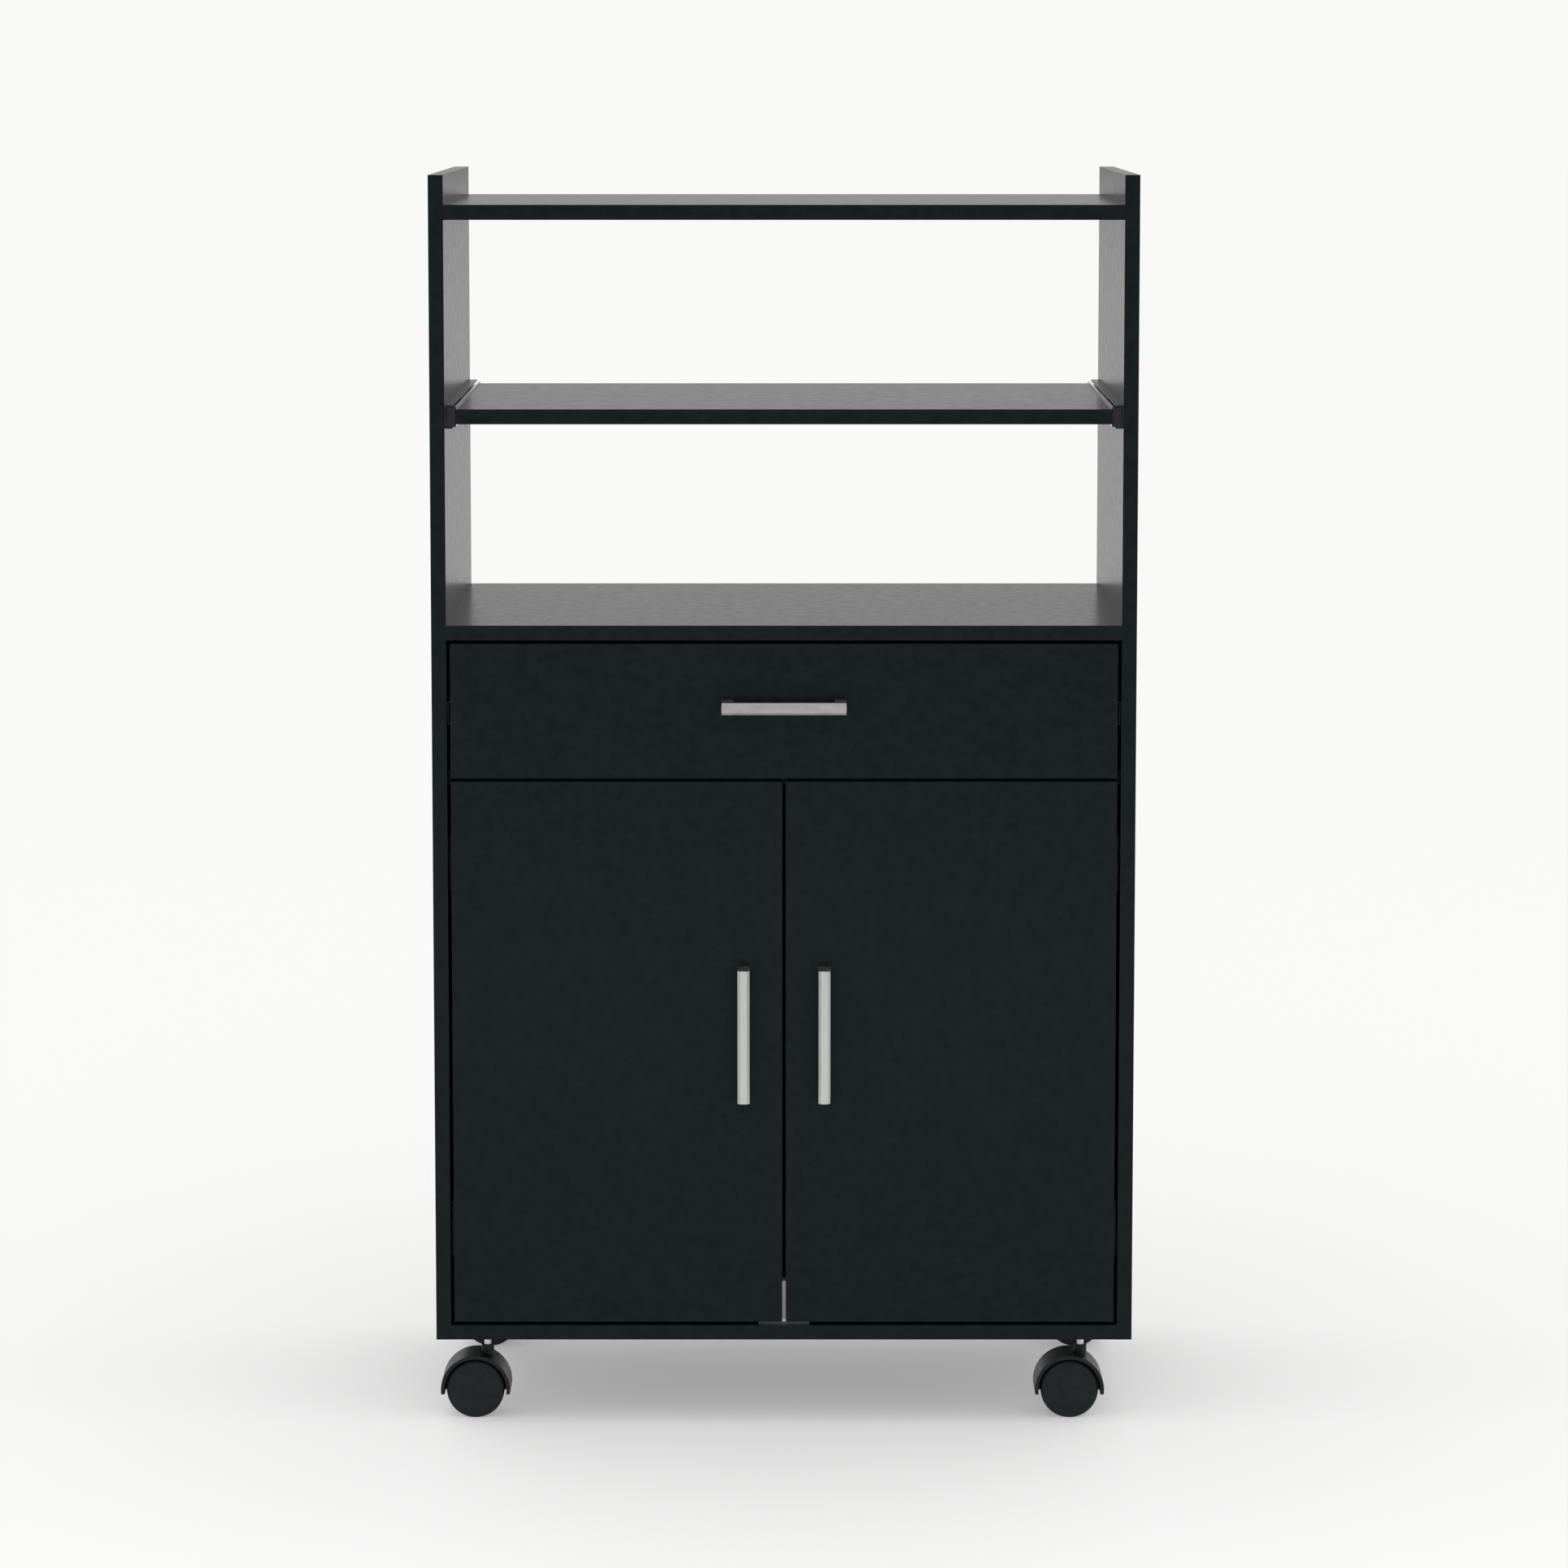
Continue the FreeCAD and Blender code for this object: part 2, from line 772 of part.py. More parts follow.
def pull_screw_places(along, middle, level, length):
    """The middles of a pull's two legs."""
    reach = (length - size.pull_leg) / 2
    if along == "x":
        return [(middle - reach, level), (middle + reach, level)]
    return [(middle, level - reach), (middle, level + reach)]


def chamfer_front(body, outer):
    """Chamfer the two long edges along the front of a pull's bar."""
    doc.recompute()
    bar = body.Tip
    lengths = {}
    for number, edge in enumerate(bar.Shape.Edges, start=1):
        if all(abs(corner.Point.y - outer.value) < TOUCHING for corner in edge.Vertexes):
            lengths[f"Edge{number}"] = edge.Length
    longest = max(lengths.values())
    chosen = [name for name, reach in lengths.items() if reach > longest - TOUCHING]
    chamfer = body.newObject("PartDesign::Chamfer", "soft_edges")
    chamfer.Base = (bar, chosen)
    bind(chamfer, "Size", size.pull_edge)


def pull_screws(places):
    """Machine screws through a board into a pull's legs."""
    screws = []
    for place in places:
        shank = rod("y", (front - size.pull_screw_bite, front_back), place, size.pull_screw_radius)
        head = rod("y", (front_back, front_back + size.pull_screw_head), place, size.pull_screw_head_radius)
        screws.append(fuse([shank, head]))
    return screws


# Drawer

drawer_pull_level = derive("drawer_pull_level", (drawer_low + drawer_top) / 2 + size.drawer_pull_rise)
drawer_side_mid = derive("drawer_side_mid", box_side - size.drawer_board / 2)
drawer_side_face = derive("drawer_side_face", box_side - size.drawer_board)
drawer_joint_levels = [box_low + size.drawer_joint_inset, box_top - size.drawer_joint_inset]


def drawer_front_board():
    """The inset front, with a groove for the drawer's floor."""
    width = both(inner - size.front_gap)
    body = board("drawer_front", width, (front, front_back), (drawer_low, drawer_top))
    places = pull_screw_places("x", as_length(0), drawer_pull_level, size.pull_length)
    drill(body, "y", (front, front_back), places, size.pull_screw_radius + size.fit)
    dowels = [(side * drawer_side_mid, level) for side in SIDES.values() for level in drawer_joint_levels]
    span = (front_back - size.dowel_bite - size.tip_play, front_back)
    drill(body, "y", span, dowels, size.dowel_radius + size.fit)
    groove = rectangle(both(drawer_side_face + size.groove_depth), (box_floor, box_floor + size.drawer_floor))
    pocket(body, "y", (front_back - size.groove_depth, front_back), groove)


def drawer_side(label, side):
    """A drawer side, grooved for the floor and drilled for its slide, dowels and screws."""
    span = mirror(side, drawer_side_face, box_side)
    body = board(label, span, (front_back, box_rear), (box_low, box_top))
    slide = SLIDES["drawer"]
    runners = [(row, slide.centre) for row in slide_screw_rows(slide)]
    drill(body, "x", off_side(side, size.slide_room, size.slide_room + size.screw_bite + size.tip_play),
          runners, size.screw_radius + size.fit)
    dowels = [(side * drawer_side_mid, level) for level in drawer_joint_levels]
    dowel_span = (front_back, front_back + size.dowel_reach + size.tip_play)
    drill(body, "y", dowel_span, dowels, size.dowel_radius + size.fit)
    back_mid = box_rear - size.drawer_board / 2
    screws = [(back_mid, level) for level in drawer_joint_levels]
    drill(body, "x", span, screws, size.screw_radius + size.fit)
    heads = mirror(side, box_side - size.screw_head, box_side)
    drill(body, "x", heads, screws, size.screw_head_radius + size.fit)
    groove = mirror(side, drawer_side_face, drawer_side_face + size.groove_depth)
    pocket(body, "x", groove, rectangle((front_back, box_rear), (box_floor, box_floor + size.drawer_floor)))


def drawer_box():
    """The drawer: front, sides, back, floor, fasteners and pull."""
    drawer_front_board()
    drawer_side("drawer_left_side", -1)
    drawer_side("drawer_right_side", 1)
    depth = (box_rear - size.drawer_board, box_rear)
    back = board("drawer_back", both(drawer_side_face), depth, (box_floor + size.drawer_floor, box_top))
    screws, dowels = [], []
    back_mid = box_rear - size.drawer_board / 2
    for side in SIDES.values():
        tip = box_side - size.drawer_board - size.drawer_screw_bite
        places = [(back_mid, level) for level in drawer_joint_levels]
        hole = mirror(side, tip - size.tip_play, drawer_side_face)
        drill(back, "x", hole, places, size.screw_radius + size.fit)
        for place in places:
            shank = rod("x", mirror(side, tip, box_side), place, size.screw_radius)
            head = rod("x", mirror(side, box_side - size.screw_head, box_side), place, size.screw_head_radius)
            screws.append(fuse([shank, head]))
        for level in drawer_joint_levels:
            span = (front_back - size.dowel_bite, front_back + size.dowel_reach)
            dowels.append(rod("y", span, (side * drawer_side_mid, level), size.dowel_radius))
    group("drawer_screws", screws + inner_screws("drawer"))
    group("drawer_dowels", dowels)
    width = both(drawer_side_face + size.groove_depth - size.groove_play)
    length = (front_back - size.groove_depth + size.groove_play, box_rear)
    board("drawer_bottom", width, length, (box_floor, box_floor + size.drawer_floor))
    pull("drawer_pull", "x", as_length(0), drawer_pull_level, size.pull_length)
    places = pull_screw_places("x", as_length(0), drawer_pull_level, size.pull_length)
    group("drawer_pull_screws", pull_screws(places))


# Doors and hinges. Depths are counted back from the front plane, widths from the side's inner face.

cup_in = derive("cup_in", size.front_gap + size.cup_edge + size.cup_radius)
strike_mid = derive("strike_mid", floor_top + size.catch_height / 2)


def door_places(side):
    """A door's pull screws."""
    middle = side * (size.front_gap / 2 + size.door_pull_inset)
    return pull_screw_places("z", middle, size.door_pull_height, size.door_pull_length)


def cup_screw_places(side):
    """A door's hinge cup screws: above and below each cup."""
    reach = (size.cup_flange_height / 2 + size.cup_radius) / 2
    return [(side * (inner - cup_in), level + sign * reach) for level in hinge_levels for sign in (-1, 1)]


def door(name, side):
    """An inset door bored for its pull and its hinge cups."""
    width = mirror(side, size.front_gap / 2, inner - size.front_gap)
    body = board(f"{name}_door", width, (front, front_back), (door_low, door_top))
    drill(body, "y", (front, front_back), door_places(side), size.pull_screw_radius + size.fit)
    cups = [(side * (inner - cup_in), level) for level in hinge_levels]
    drill(body, "y", (front_back - size.cup_depth, front_back), cups, size.cup_radius + size.fit)
    screws = (front_back - size.cup_screw_bite - size.tip_play, front_back)
    drill(body, "y", screws, cup_screw_places(side), size.screw_radius + size.fit)


def hinge_cups(name, side):
    """A door's two steel cups, each with a flange screwed to the door's back."""
    cups = []
    flange = (front_back, front_back + size.cup_flange)
    for level in hinge_levels:
        centre = (side * (inner - cup_in), level)
        depth = (front_back - size.cup_depth, front_back)
        width = around(centre[0], size.cup_flange_width / 2)
        plate = block(width, flange, around(level, size.cup_flange_height / 2))
        hollow = (front_back - size.cup_depth + size.cup_wall, front_back + size.cup_flange)
        tools = [rod("y", hollow, centre, size.cup_radius - size.cup_wall)]
        for place in cup_screw_places(side):
            tools.append(rod("y", flange, place, size.screw_radius + size.fit))
        cups.append(cut(fuse([rod("y", depth, centre, size.cup_radius), plate]), tools))
    group(f"{name}_hinge_cups", cups)


def cup_screws(side):
    """The screws that hold a door's cups."""
    screws = []
    for place in cup_screw_places(side):
        head = (front_back + size.cup_flange, front_back + size.cup_flange + size.screw_head)
        shank = (front_back - size.cup_screw_bite, front_back + size.cup_flange)
        head_rod = rod("y", head, place, size.screw_head_radius)
        screws.append(fuse([head_rod, rod("y", shank, place, size.screw_radius)]))
    return screws


def hinge_arm(side, level):
    """An arm from the mounting plate round to the cup, forked about the link's pin."""
    pivot = (side * (inner - size.link_in), front + size.link_back)
    half = size.arm_width / 2
    arm_front = front + size.arm_back
    stem = block(off_side(side, size.plate_thickness, size.plate_thickness + size.arm_height),
                 (arm_front, front + size.plate_start + size.plate_length - size.arm_end),
                 around(level, half))
    reach = size.link_in + size.knuckle_radius
    cross = block(off_side(side, size.plate_thickness, reach),
                  (arm_front, arm_front + size.arm_steel * 2), around(level, half))
    prongs = []
    for low, high in ((-half, -size.arm_slot), (size.arm_slot, half)):
        span = off_side(side, size.link_in - size.knuckle_radius, reach)
        prong = (pivot[1] - size.knuckle_radius, arm_front + size.arm_steel)
        prongs.append(block(span, prong, (level + low, level + high)))
    pin = rod("z", around(level, half), pivot, size.knuckle_pin)
    return fuse([stem, cross, pin] + prongs)


def hinge_link(side, level):
    """A flat link with a barrel that turns on the arm's pin; it points to the door's edge."""
    pivot = (side * (inner - size.link_in), front + size.link_back)
    half = size.link_width / 2
    barrel = rod("z", around(level, half), pivot, size.knuckle_radius)
    plate = doc.addObject("Part::Box", "link_plate")
    bind(plate, "Length", size.link_length)
    bind(plate, "Width", size.link_steel)
    bind(plate, "Height", size.link_width)
    turn = 180 - LINK_REST if side < 0 else LINK_REST
    rotation = Rotation(Vector(0, 0, 1), turn)
    plate.Placement = Placement(Vector(), rotation)
    sideways = rotation.multVec(Vector(0, 1, 0))
    corner_x = pivot[0] - sideways.x * size.link_steel / 2
    corner_y = pivot[1] - sideways.y * size.link_steel / 2
    set_base(plate, corner_x, corner_y, level - half)
    bore = rod("z", around(level, half), pivot, size.knuckle_pin + size.fit)
    return cut(fuse([barrel, plate]), [bore])


def hinges():
    """Mounting plates and arms on the sides, and the links that turn on the arms."""
    plates, arms = [], []
    for name, side in SIDES.items():
        depth = (front + size.plate_start, front + size.plate_start + size.plate_length)
        for level in hinge_levels:
            plate = block(off_side(side, 0, size.plate_thickness), depth, around(level, size.plate_height / 2))
            hole = off_side(side, 0, size.plate_thickness)
            radius = size.screw_radius + size.fit
            half = size.plate_screw_step / 2
            rows = [(plate_mid, level + step) for step in (-half, half)]
            plates.append(cut(plate, [rod("x", hole, row, radius) for row in rows]))
            arms.append(hinge_arm(side, level))
        group(f"{name}_hinge_links", [hinge_link(side, level) for level in hinge_levels])
    group("hinge_plates", plates)
    group("hinge_arms", arms)


def plate_fasteners():
    """The screws that hold the hinge plates to the side panels."""
    screws = []
    for side in SIDES.values():
        head = off_side(side, size.plate_thickness, size.plate_thickness + size.screw_head)
        shank = off_side(side, -size.screw_bite, size.plate_thickness)
        for place in plate_screws():
            head_rod = rod("x", head, place, size.screw_head_radius)
            screws.append(fuse([head_rod, rod("x", shank, place, size.screw_radius)]))
    return screws


def doors():
    """Both doors with their pulls, cups and strike plates."""
    for name, side in SIDES.items():
        door(name, side)
        middle = side * (size.front_gap / 2 + size.door_pull_inset)
        pull(f"{name}_door_pull", "z", middle, size.door_pull_height, size.door_pull_length)
        group(f"{name}_door_screws", pull_screws(door_places(side)) + cup_screws(side))
        hinge_cups(name, side)
        width = mirror(side, size.front_gap, size.front_gap + size.strike_width)
        depth = (front_back, front_back + size.strike_thickness)
        keep(block(width, depth, around(strike_mid, size.strike_height / 2)), f"{name}_strike_plate")


# Catch

def catch_screw_places():
    """The two screws through the catch's foot."""
    along = front_back + size.catch_gap + size.catch_length + size.catch_foot / 2
    return [(side * size.catch_screw_spread / 2, along) for side in SIDES.values()]


def door_catch():
    """A double magnetic catch standing on the bottom panel behind the doors' meeting edges."""
    start = front_back + size.catch_gap
    end = start + size.catch_length
    width = both(size.catch_width / 2)
    case = block(width, (start, end), (floor_top, floor_top + size.catch_height))
    foot_height = (floor_top, floor_top + size.catch_foot_thickness)
    foot = block(width, (end, end + size.catch_foot), foot_height)
    holes = [rod("z", foot_height, place, size.screw_radius + size.fit) for place in catch_screw_places()]
    keep(cut(fuse([case, foot]), holes), "door_catch")


def catch_screws():
    """The screws through the catch's foot."""
    screws = []
    head_low = floor_top + size.catch_foot_thickness
    for place in catch_screw_places():
        shank = rod("z", (floor_top - size.catch_screw_bite, head_low), place, size.screw_radius)
        head = rod("z", (head_low, head_low + size.screw_head), place, size.screw_head_radius)
        screws.append(fuse([shank, head]))
    return screws


# Casters, each in its own frame: the stem stands on the Z axis and the axle lies along Y.

def put_caster(item, name):
    """Turn a caster's piece about its stem and bind it to the stem's place."""
    item.Placement = Placement(Vector(), Rotation(Vector(0, 0, 1), SWIVELS[name]))
    x, y = CASTERS[name]
    bind(item, "Placement.Base.x", x)
    bind(item, "Placement.Base.y", y)


def caster_hood(name):
    """A hood over twin wheels: an arch, a middle web, a boss for the stem and an axle."""
    body = new_body(f"{name}_caster_hood")
    axle = (-size.trail, size.wheel_radius)
    arch = size.wheel_radius + size.wheel_gap + size.hood_wall
    half = size.hood_web / 2 + size.side_play + size.wheel_width + size.hood_lip
    pad(body, "y", both(half), circle(axle, arch))
    pad(body, "z", (size.wheel_radius * 2, size.boss_top), circle((0, 0), size.boss_radius))
    low = size.wheel_radius - size.hood_drop
    below = rectangle((-size.trail - arch, arch - size.trail), (size.wheel_radius - arch, low))
    pocket(body, "y", both(half), below)
    for side in SIDES.values():
        room = mirror(side, size.hood_web / 2, half)
        pocket(body, "y", room, circle(axle, size.wheel_radius + size.wheel_gap))
    pin_end = size.hood_web / 2 + size.side_play + size.wheel_width - size.wheel_face - size.tip_play
    pad(body, "y", both(pin_end), circle(axle, size.axle_radius))
    stem = (size.boss_top - size.stem_seat - size.tip_play, size.boss_top)
    drill(body, "z", stem, [(0, 0)], size.stem_radius + size.fit)
    put_caster(body, name)


def caster_wheel(name, place, side):
    """A wheel with a chamfered tread and a closed outer face, turned about the axle."""
    body = new_body(f"{name}_caster_{place}_wheel")
    inside = size.hood_web / 2 + size.side_play
    outside = inside + size.wheel_width
    bore = size.axle_radius + size.fit
    bore_end = outside - size.wheel_face
    shoulder = size.wheel_radius - size.wheel_edge
    profile = [
        (bore, inside), (shoulder, inside),
        (size.wheel_radius, inside + size.wheel_edge), (size.wheel_radius, outside - size.wheel_edge),
        (shoulder, outside), (0, outside), (0, bore_end), (bore, bore_end),
    ]
    points = [(side * along, size.wheel_radius + radius) for radius, along in profile]
    section = sketch_across(body, "x", -size.trail, [polygon(*points)])
    axle = body.newObject("PartDesign::Line", "axle")
    axle.Placement = Placement(Vector(), Rotation(Vector(1, 0, 0), -90))
    bind(axle, "Placement.Base.x", -size.trail)
    bind(axle, "Placement.Base.z", size.wheel_radius)
    turned = body.newObject("PartDesign::Revolution", "turned")
    turned.Profile = section
    turned.ReferenceAxis = (axle, [""])
    turned.Angle = 360
    put_caster(body, name)


def casters():
    """Four casters, their stems and the sockets that carry them."""
    sockets, stems = [], []
    for name, centre in CASTERS.items():
        caster_hood(name)
        caster_wheel(name, "front", -1)
        caster_wheel(name, "back", 1)
        under = size.caster_height - size.socket_flange
        flange = rod("z", (under, size.caster_height), centre, size.socket_flange_radius)
        sleeve = rod("z", (under, size.caster_height + size.socket_height), centre, size.socket_radius)
        hole = rod("z", (under, size.caster_height + size.stem_bite), centre, size.stem_radius + size.fit)
        sockets.append(cut(fuse([flange, sleeve]), [hole]))
        stem = (size.boss_top - size.stem_seat, size.caster_height + size.stem_bite)
        stems.append(rod("z", stem, centre, size.stem_radius))
    group("caster_sockets", sockets)
    group("caster_stems", stems)


def check_document():
    """Stop unless every feature was made and every pocket removed something."""
    for item in doc.Objects:
        bad = {"Invalid", "Error"} & set(item.State)
        if bad:
            raise RuntimeError(f"{item.Label}: {bad}")
        if item.isDerivedFrom("PartDesign::Pocket") and item.BaseFeature is not None:
            if item.Shape.Volume > item.BaseFeature.Shape.Volume - LEAST_CUT:
                raise RuntimeError(f"{item.Label}: cuts nothing")
    for piece in pieces:
        if piece.Shape.isNull() or not piece.Shape.isValid() or not piece.Shape.Solids:
            raise RuntimeError(f"{piece.Label}: bad shape")


def write_parts():
    """Write each piece to its own STEP file."""
    os.makedirs("parts", exist_ok=True)
    for piece in pieces:
        piece.Shape.exportStep(f"parts/{piece.Label}.step")


carcass_boards()
board_fasteners()
slide_nodes("pullout")
slide_nodes("drawer")
pull_out_shelf()
drawer_box()
doors()
hinges()
door_catch()
group("carcass_screws", outer_screws("pullout") + outer_screws("drawer") + plate_fasteners() + catch_screws())
casters()
doc.recompute()
check_document()
write_parts()
print(len(pieces), "pieces")
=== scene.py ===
# %% [markdown]
# # A rolling microwave stand, dressed for the studio
# The stand's real parts arrive as a fixed frame, in metres. This lesson gives each of them
# the surface that it has in real life: satin black laminate, nickel pulls, zinc slides and
# black nylon casters. Where a machined edge needs a soft rounding, a piece is made from the
# part's own mesh and stands in for it.

# %% Load the frame
import json
import math

import bmesh
import bpy
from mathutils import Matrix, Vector

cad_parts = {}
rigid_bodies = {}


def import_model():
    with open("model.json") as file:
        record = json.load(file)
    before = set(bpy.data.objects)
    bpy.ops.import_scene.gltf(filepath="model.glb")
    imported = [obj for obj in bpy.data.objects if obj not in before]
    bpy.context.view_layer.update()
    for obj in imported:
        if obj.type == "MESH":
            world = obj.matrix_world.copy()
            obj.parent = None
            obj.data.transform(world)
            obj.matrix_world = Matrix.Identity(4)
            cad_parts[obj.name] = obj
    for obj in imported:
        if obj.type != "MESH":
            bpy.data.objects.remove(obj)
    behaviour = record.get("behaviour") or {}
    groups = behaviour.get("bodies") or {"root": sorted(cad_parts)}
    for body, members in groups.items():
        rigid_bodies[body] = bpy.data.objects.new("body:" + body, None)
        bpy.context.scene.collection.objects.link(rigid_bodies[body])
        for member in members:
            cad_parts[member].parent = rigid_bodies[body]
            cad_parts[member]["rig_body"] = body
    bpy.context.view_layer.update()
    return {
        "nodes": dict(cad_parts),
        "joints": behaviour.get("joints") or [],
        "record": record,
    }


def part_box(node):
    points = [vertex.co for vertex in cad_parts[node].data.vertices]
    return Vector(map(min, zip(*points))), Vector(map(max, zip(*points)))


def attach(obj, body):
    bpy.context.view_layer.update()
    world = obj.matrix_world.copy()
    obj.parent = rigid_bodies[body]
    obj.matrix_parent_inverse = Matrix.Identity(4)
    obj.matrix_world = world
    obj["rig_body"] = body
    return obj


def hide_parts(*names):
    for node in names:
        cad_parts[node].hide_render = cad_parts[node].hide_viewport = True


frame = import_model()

MM = 0.001
NODES = frame["nodes"]
BODY_OF = {name: item["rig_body"] for name, item in NODES.items()}
SLOT_OF = {part["node"]: part["material_slot"] for part in frame["record"]["subparts"]}
print("nodes in the frame:", len(NODES))

# %% [markdown]
# ## Small tools
# Colours are written as the sRGB hex values that a paint chart gives, and one function turns
# them to linear light. A second small function adds a node, sets its properties, and either
# fills a socket with a value or links it to another node, and a third starts a material. Three
# more give a surface what no real one lacks: a gloss that drifts, a colour that drifts too, and
# a relief.

# %% Colour and node helpers

# A noise seldom leaves the band between these two values.
NOISE_LOW = 0.3
NOISE_HIGH = 0.7


def linear(hex_colour):
    """Turn an sRGB hex colour to linear red, green and blue, with an alpha of 1."""
    channels = [int(hex_colour[start:start + 2], 16) / 255 for start in (0, 2, 4)]
    return [c / 12.92 if c <= 0.04045 else ((c + 0.055) / 1.055) ** 2.4 for c in channels] + [1.0]


def add_node(tree, kind, inputs=None, **settings):
    """Add a node, set its properties, and fill or link its sockets."""
    node = tree.nodes.new(kind)
    for name, value in settings.items():
        setattr(node, name, value)
    for name, value in (inputs or {}).items():
        if isinstance(value, bpy.types.NodeSocket):
            tree.links.new(value, node.inputs[name])
        else:
            node.inputs[name].default_value = value
    return node


def new_material(name, **sockets):
    """A material with a Principled shader whose sockets hold the given values."""
    material = bpy.data.materials.new(name)
    material.use_nodes = True
    tree = material.node_tree
    shader = tree.nodes["Principled BSDF"]
    for socket, value in sockets.items():
        shader.inputs[socket.replace("_", " ")].default_value = value
    place = add_node(tree, "ShaderNodeTexCoord").outputs["Object"]
    return material, tree, shader, place


def vary(tree, shader, place, period_mm, low, high, stretch=(1, 1, 1)):
    """Let roughness drift between two values with a noise of a real size; return the noise."""
    scaled = add_node(tree, "ShaderNodeMapping", {"Vector": place, "Scale": stretch}).outputs["Vector"]
    noise = add_node(tree, "ShaderNodeTexNoise",
                     {"Vector": scaled, "Scale": 1 / (period_mm * MM), "Detail": 3.0}).outputs["Fac"]
    gloss = add_node(tree, "ShaderNodeMapRange",
                     {"Value": noise, "From Min": NOISE_LOW, "From Max": NOISE_HIGH,
                      "To Min": low, "To Max": high})
    tree.links.new(gloss.outputs["Result"], shader.inputs["Roughness"])
    return noise


def tint(tree, shader, noise, dark, pale, start=NOISE_LOW, end=NOISE_HIGH):
    """Let the base colour drift between two hex colours as a noise goes from start to end."""
    ramp = add_node(tree, "ShaderNodeValToRGB", {"Fac": noise})
    for stop, position, colour in zip(ramp.color_ramp.elements, (start, end), (dark, pale)):
        stop.position = position
        stop.color = linear(colour)
    tree.links.new(ramp.outputs["Color"], shader.inputs["Base Color"])


def relief(tree, shader, height, depth_mm, strength):
    """Raise the surface by a real depth where a texture is bright."""
    bump = add_node(tree, "ShaderNodeBump",
                    {"Height": height, "Distance": depth_mm * MM, "Strength": strength})
    tree.links.new(bump.outputs["Normal"], shader.inputs["Normal"])


# %% [markdown]
# ## Black laminate
# The boards are particle board pressed with a melamine-soaked black paper. A satin press
# plate leaves a fine pebble, so the face is dark and soft when seen square on, and turns
# silvery at a glancing angle, where any smooth resin reflects the room. Fresnel in the shader
# does that by itself, so the material only needs the pebble and a little drift in roughness
# and colour. A real pebble is about 0.3 mm across, and here it is drawn coarser, so that it shows.

# %% Black laminate

LAMINATE_SHEEN = 0.045
PEBBLE = 0.9 * MM


def black_laminate():
    """Satin melamine over black paper."""
    material, tree, shader, place = new_material(
        "black_melamine_laminate", Specular_IOR_Level=LAMINATE_SHEEN)
    cloud = vary(tree, shader, place, period_mm=9.0, low=0.22, high=0.27)
    pebble = add_node(tree, "ShaderNodeTexNoise",
                      {"Vector": place, "Scale": 1 / PEBBLE, "Detail": 2.0}).outputs["Fac"]
    mottle = add_node(tree, "ShaderNodeMath", {0: cloud, 1: pebble}, operation="MULTIPLY")
    tint(tree, shader, mottle.outputs["Value"], "0f1515", "151b1b", start=0.12, end=0.40)
    relief(tree, shader, pebble, depth_mm=0.012, strength=0.4)
    return material


laminate = black_laminate()
print("made", laminate.name)

# %% [markdown]
# ## Hardboard
# The back and the drawer's bottom are thin wet-process hardboard. One face is pressed smooth
# and printed black. The other keeps the brown of the fibres and the weave of the press
# screen. Each side has a material of its own, and a piece takes one or the other for each of
# its faces by the way that the face looks. The screen's wires are drawn wider apart than real
# ones, so that the weave shows.

# %% Hardboard

FIBRE = 2.2 * MM
SCREEN_PITCH = 3.158 * MM

# A wave texture of scale 1 turns by this many radians over one metre.
WAVE_RADIANS = 20.0


def printed_hardboard():
    """The smooth face: black print over pressed fibre."""
    material, tree, shader, place = new_material("black_printed_hardboard", Specular_IOR_Level=0.25)
    drift = vary(tree, shader, place, period_mm=14.0, low=0.46, high=0.56)
    tint(tree, shader, drift, "1e2223", "242829")
    fibre = add_node(tree, "ShaderNodeTexNoise",
                     {"Vector": place, "Scale": 1 / FIBRE, "Detail": 4.0, "Roughness": 0.6})
    relief(tree, shader, fibre.outputs["Fac"], depth_mm=0.03, strength=0.4)
    return material


def screened_hardboard():
    """The rough face: bare brown fibre with the press screen's weave."""
    material, tree, shader, place = new_material("screened_brown_hardboard", Specular_IOR_Level=0.2)
    flecks = vary(tree, shader, place, period_mm=3.0, low=0.74, high=0.86)
    tint(tree, shader, flecks, "4a3323", "7a5a41", start=0.0, end=1.0)
    weave = [
        add_node(tree, "ShaderNodeTexWave",
                 {"Vector": place, "Scale": math.tau / (WAVE_RADIANS * SCREEN_PITCH)},
                 bands_direction=direction).outputs["Fac"]
        for direction in ("X", "Z")
    ]
    screen = add_node(tree, "ShaderNodeMath", {0: weave[0], 1: weave[1]}, operation="MULTIPLY")
    relief(tree, shader, screen.outputs["Value"], depth_mm=0.08, strength=0.6)
    return material


hardboard_front, hardboard_back = printed_hardboard(), screened_hardboard()
print("made", hardboard_front.name, "and", hardboard_back.name)

# %% [markdown]
# ## Foil, nylon and moulded plastics
# The drawer's sides are wrapped in a black foil that is a little duller than the laminate.
# The casters are black nylon from a spark-eroded mould, whose fine grain keeps every
# highlight wide. The door catch is the only white plastic on the stand.

# %% Foil and plastics

GLOSS_DRIFT = 0.04


def moulded(name, dark, pale, sheen, rough, grain_mm, depth_mm):
    """A moulded plastic or a wrapped foil: colour and gloss that drift a little, and a fine grain."""
    material, tree, shader, place = new_material(name, Specular_IOR_Level=sheen)
    drift = vary(tree, shader, place, period_mm=6.0, low=rough - GLOSS_DRIFT, high=rough + GLOSS_DRIFT)
    tint(tree, shader, drift, dark, pale)
    grain = add_node(tree, "ShaderNodeTexNoise",
                     {"Vector": place, "Scale": 1 / (grain_mm * MM), "Detail": 2.0})
    relief(tree, shader, grain.outputs["Fac"], depth_mm, strength=0.4)
    return material


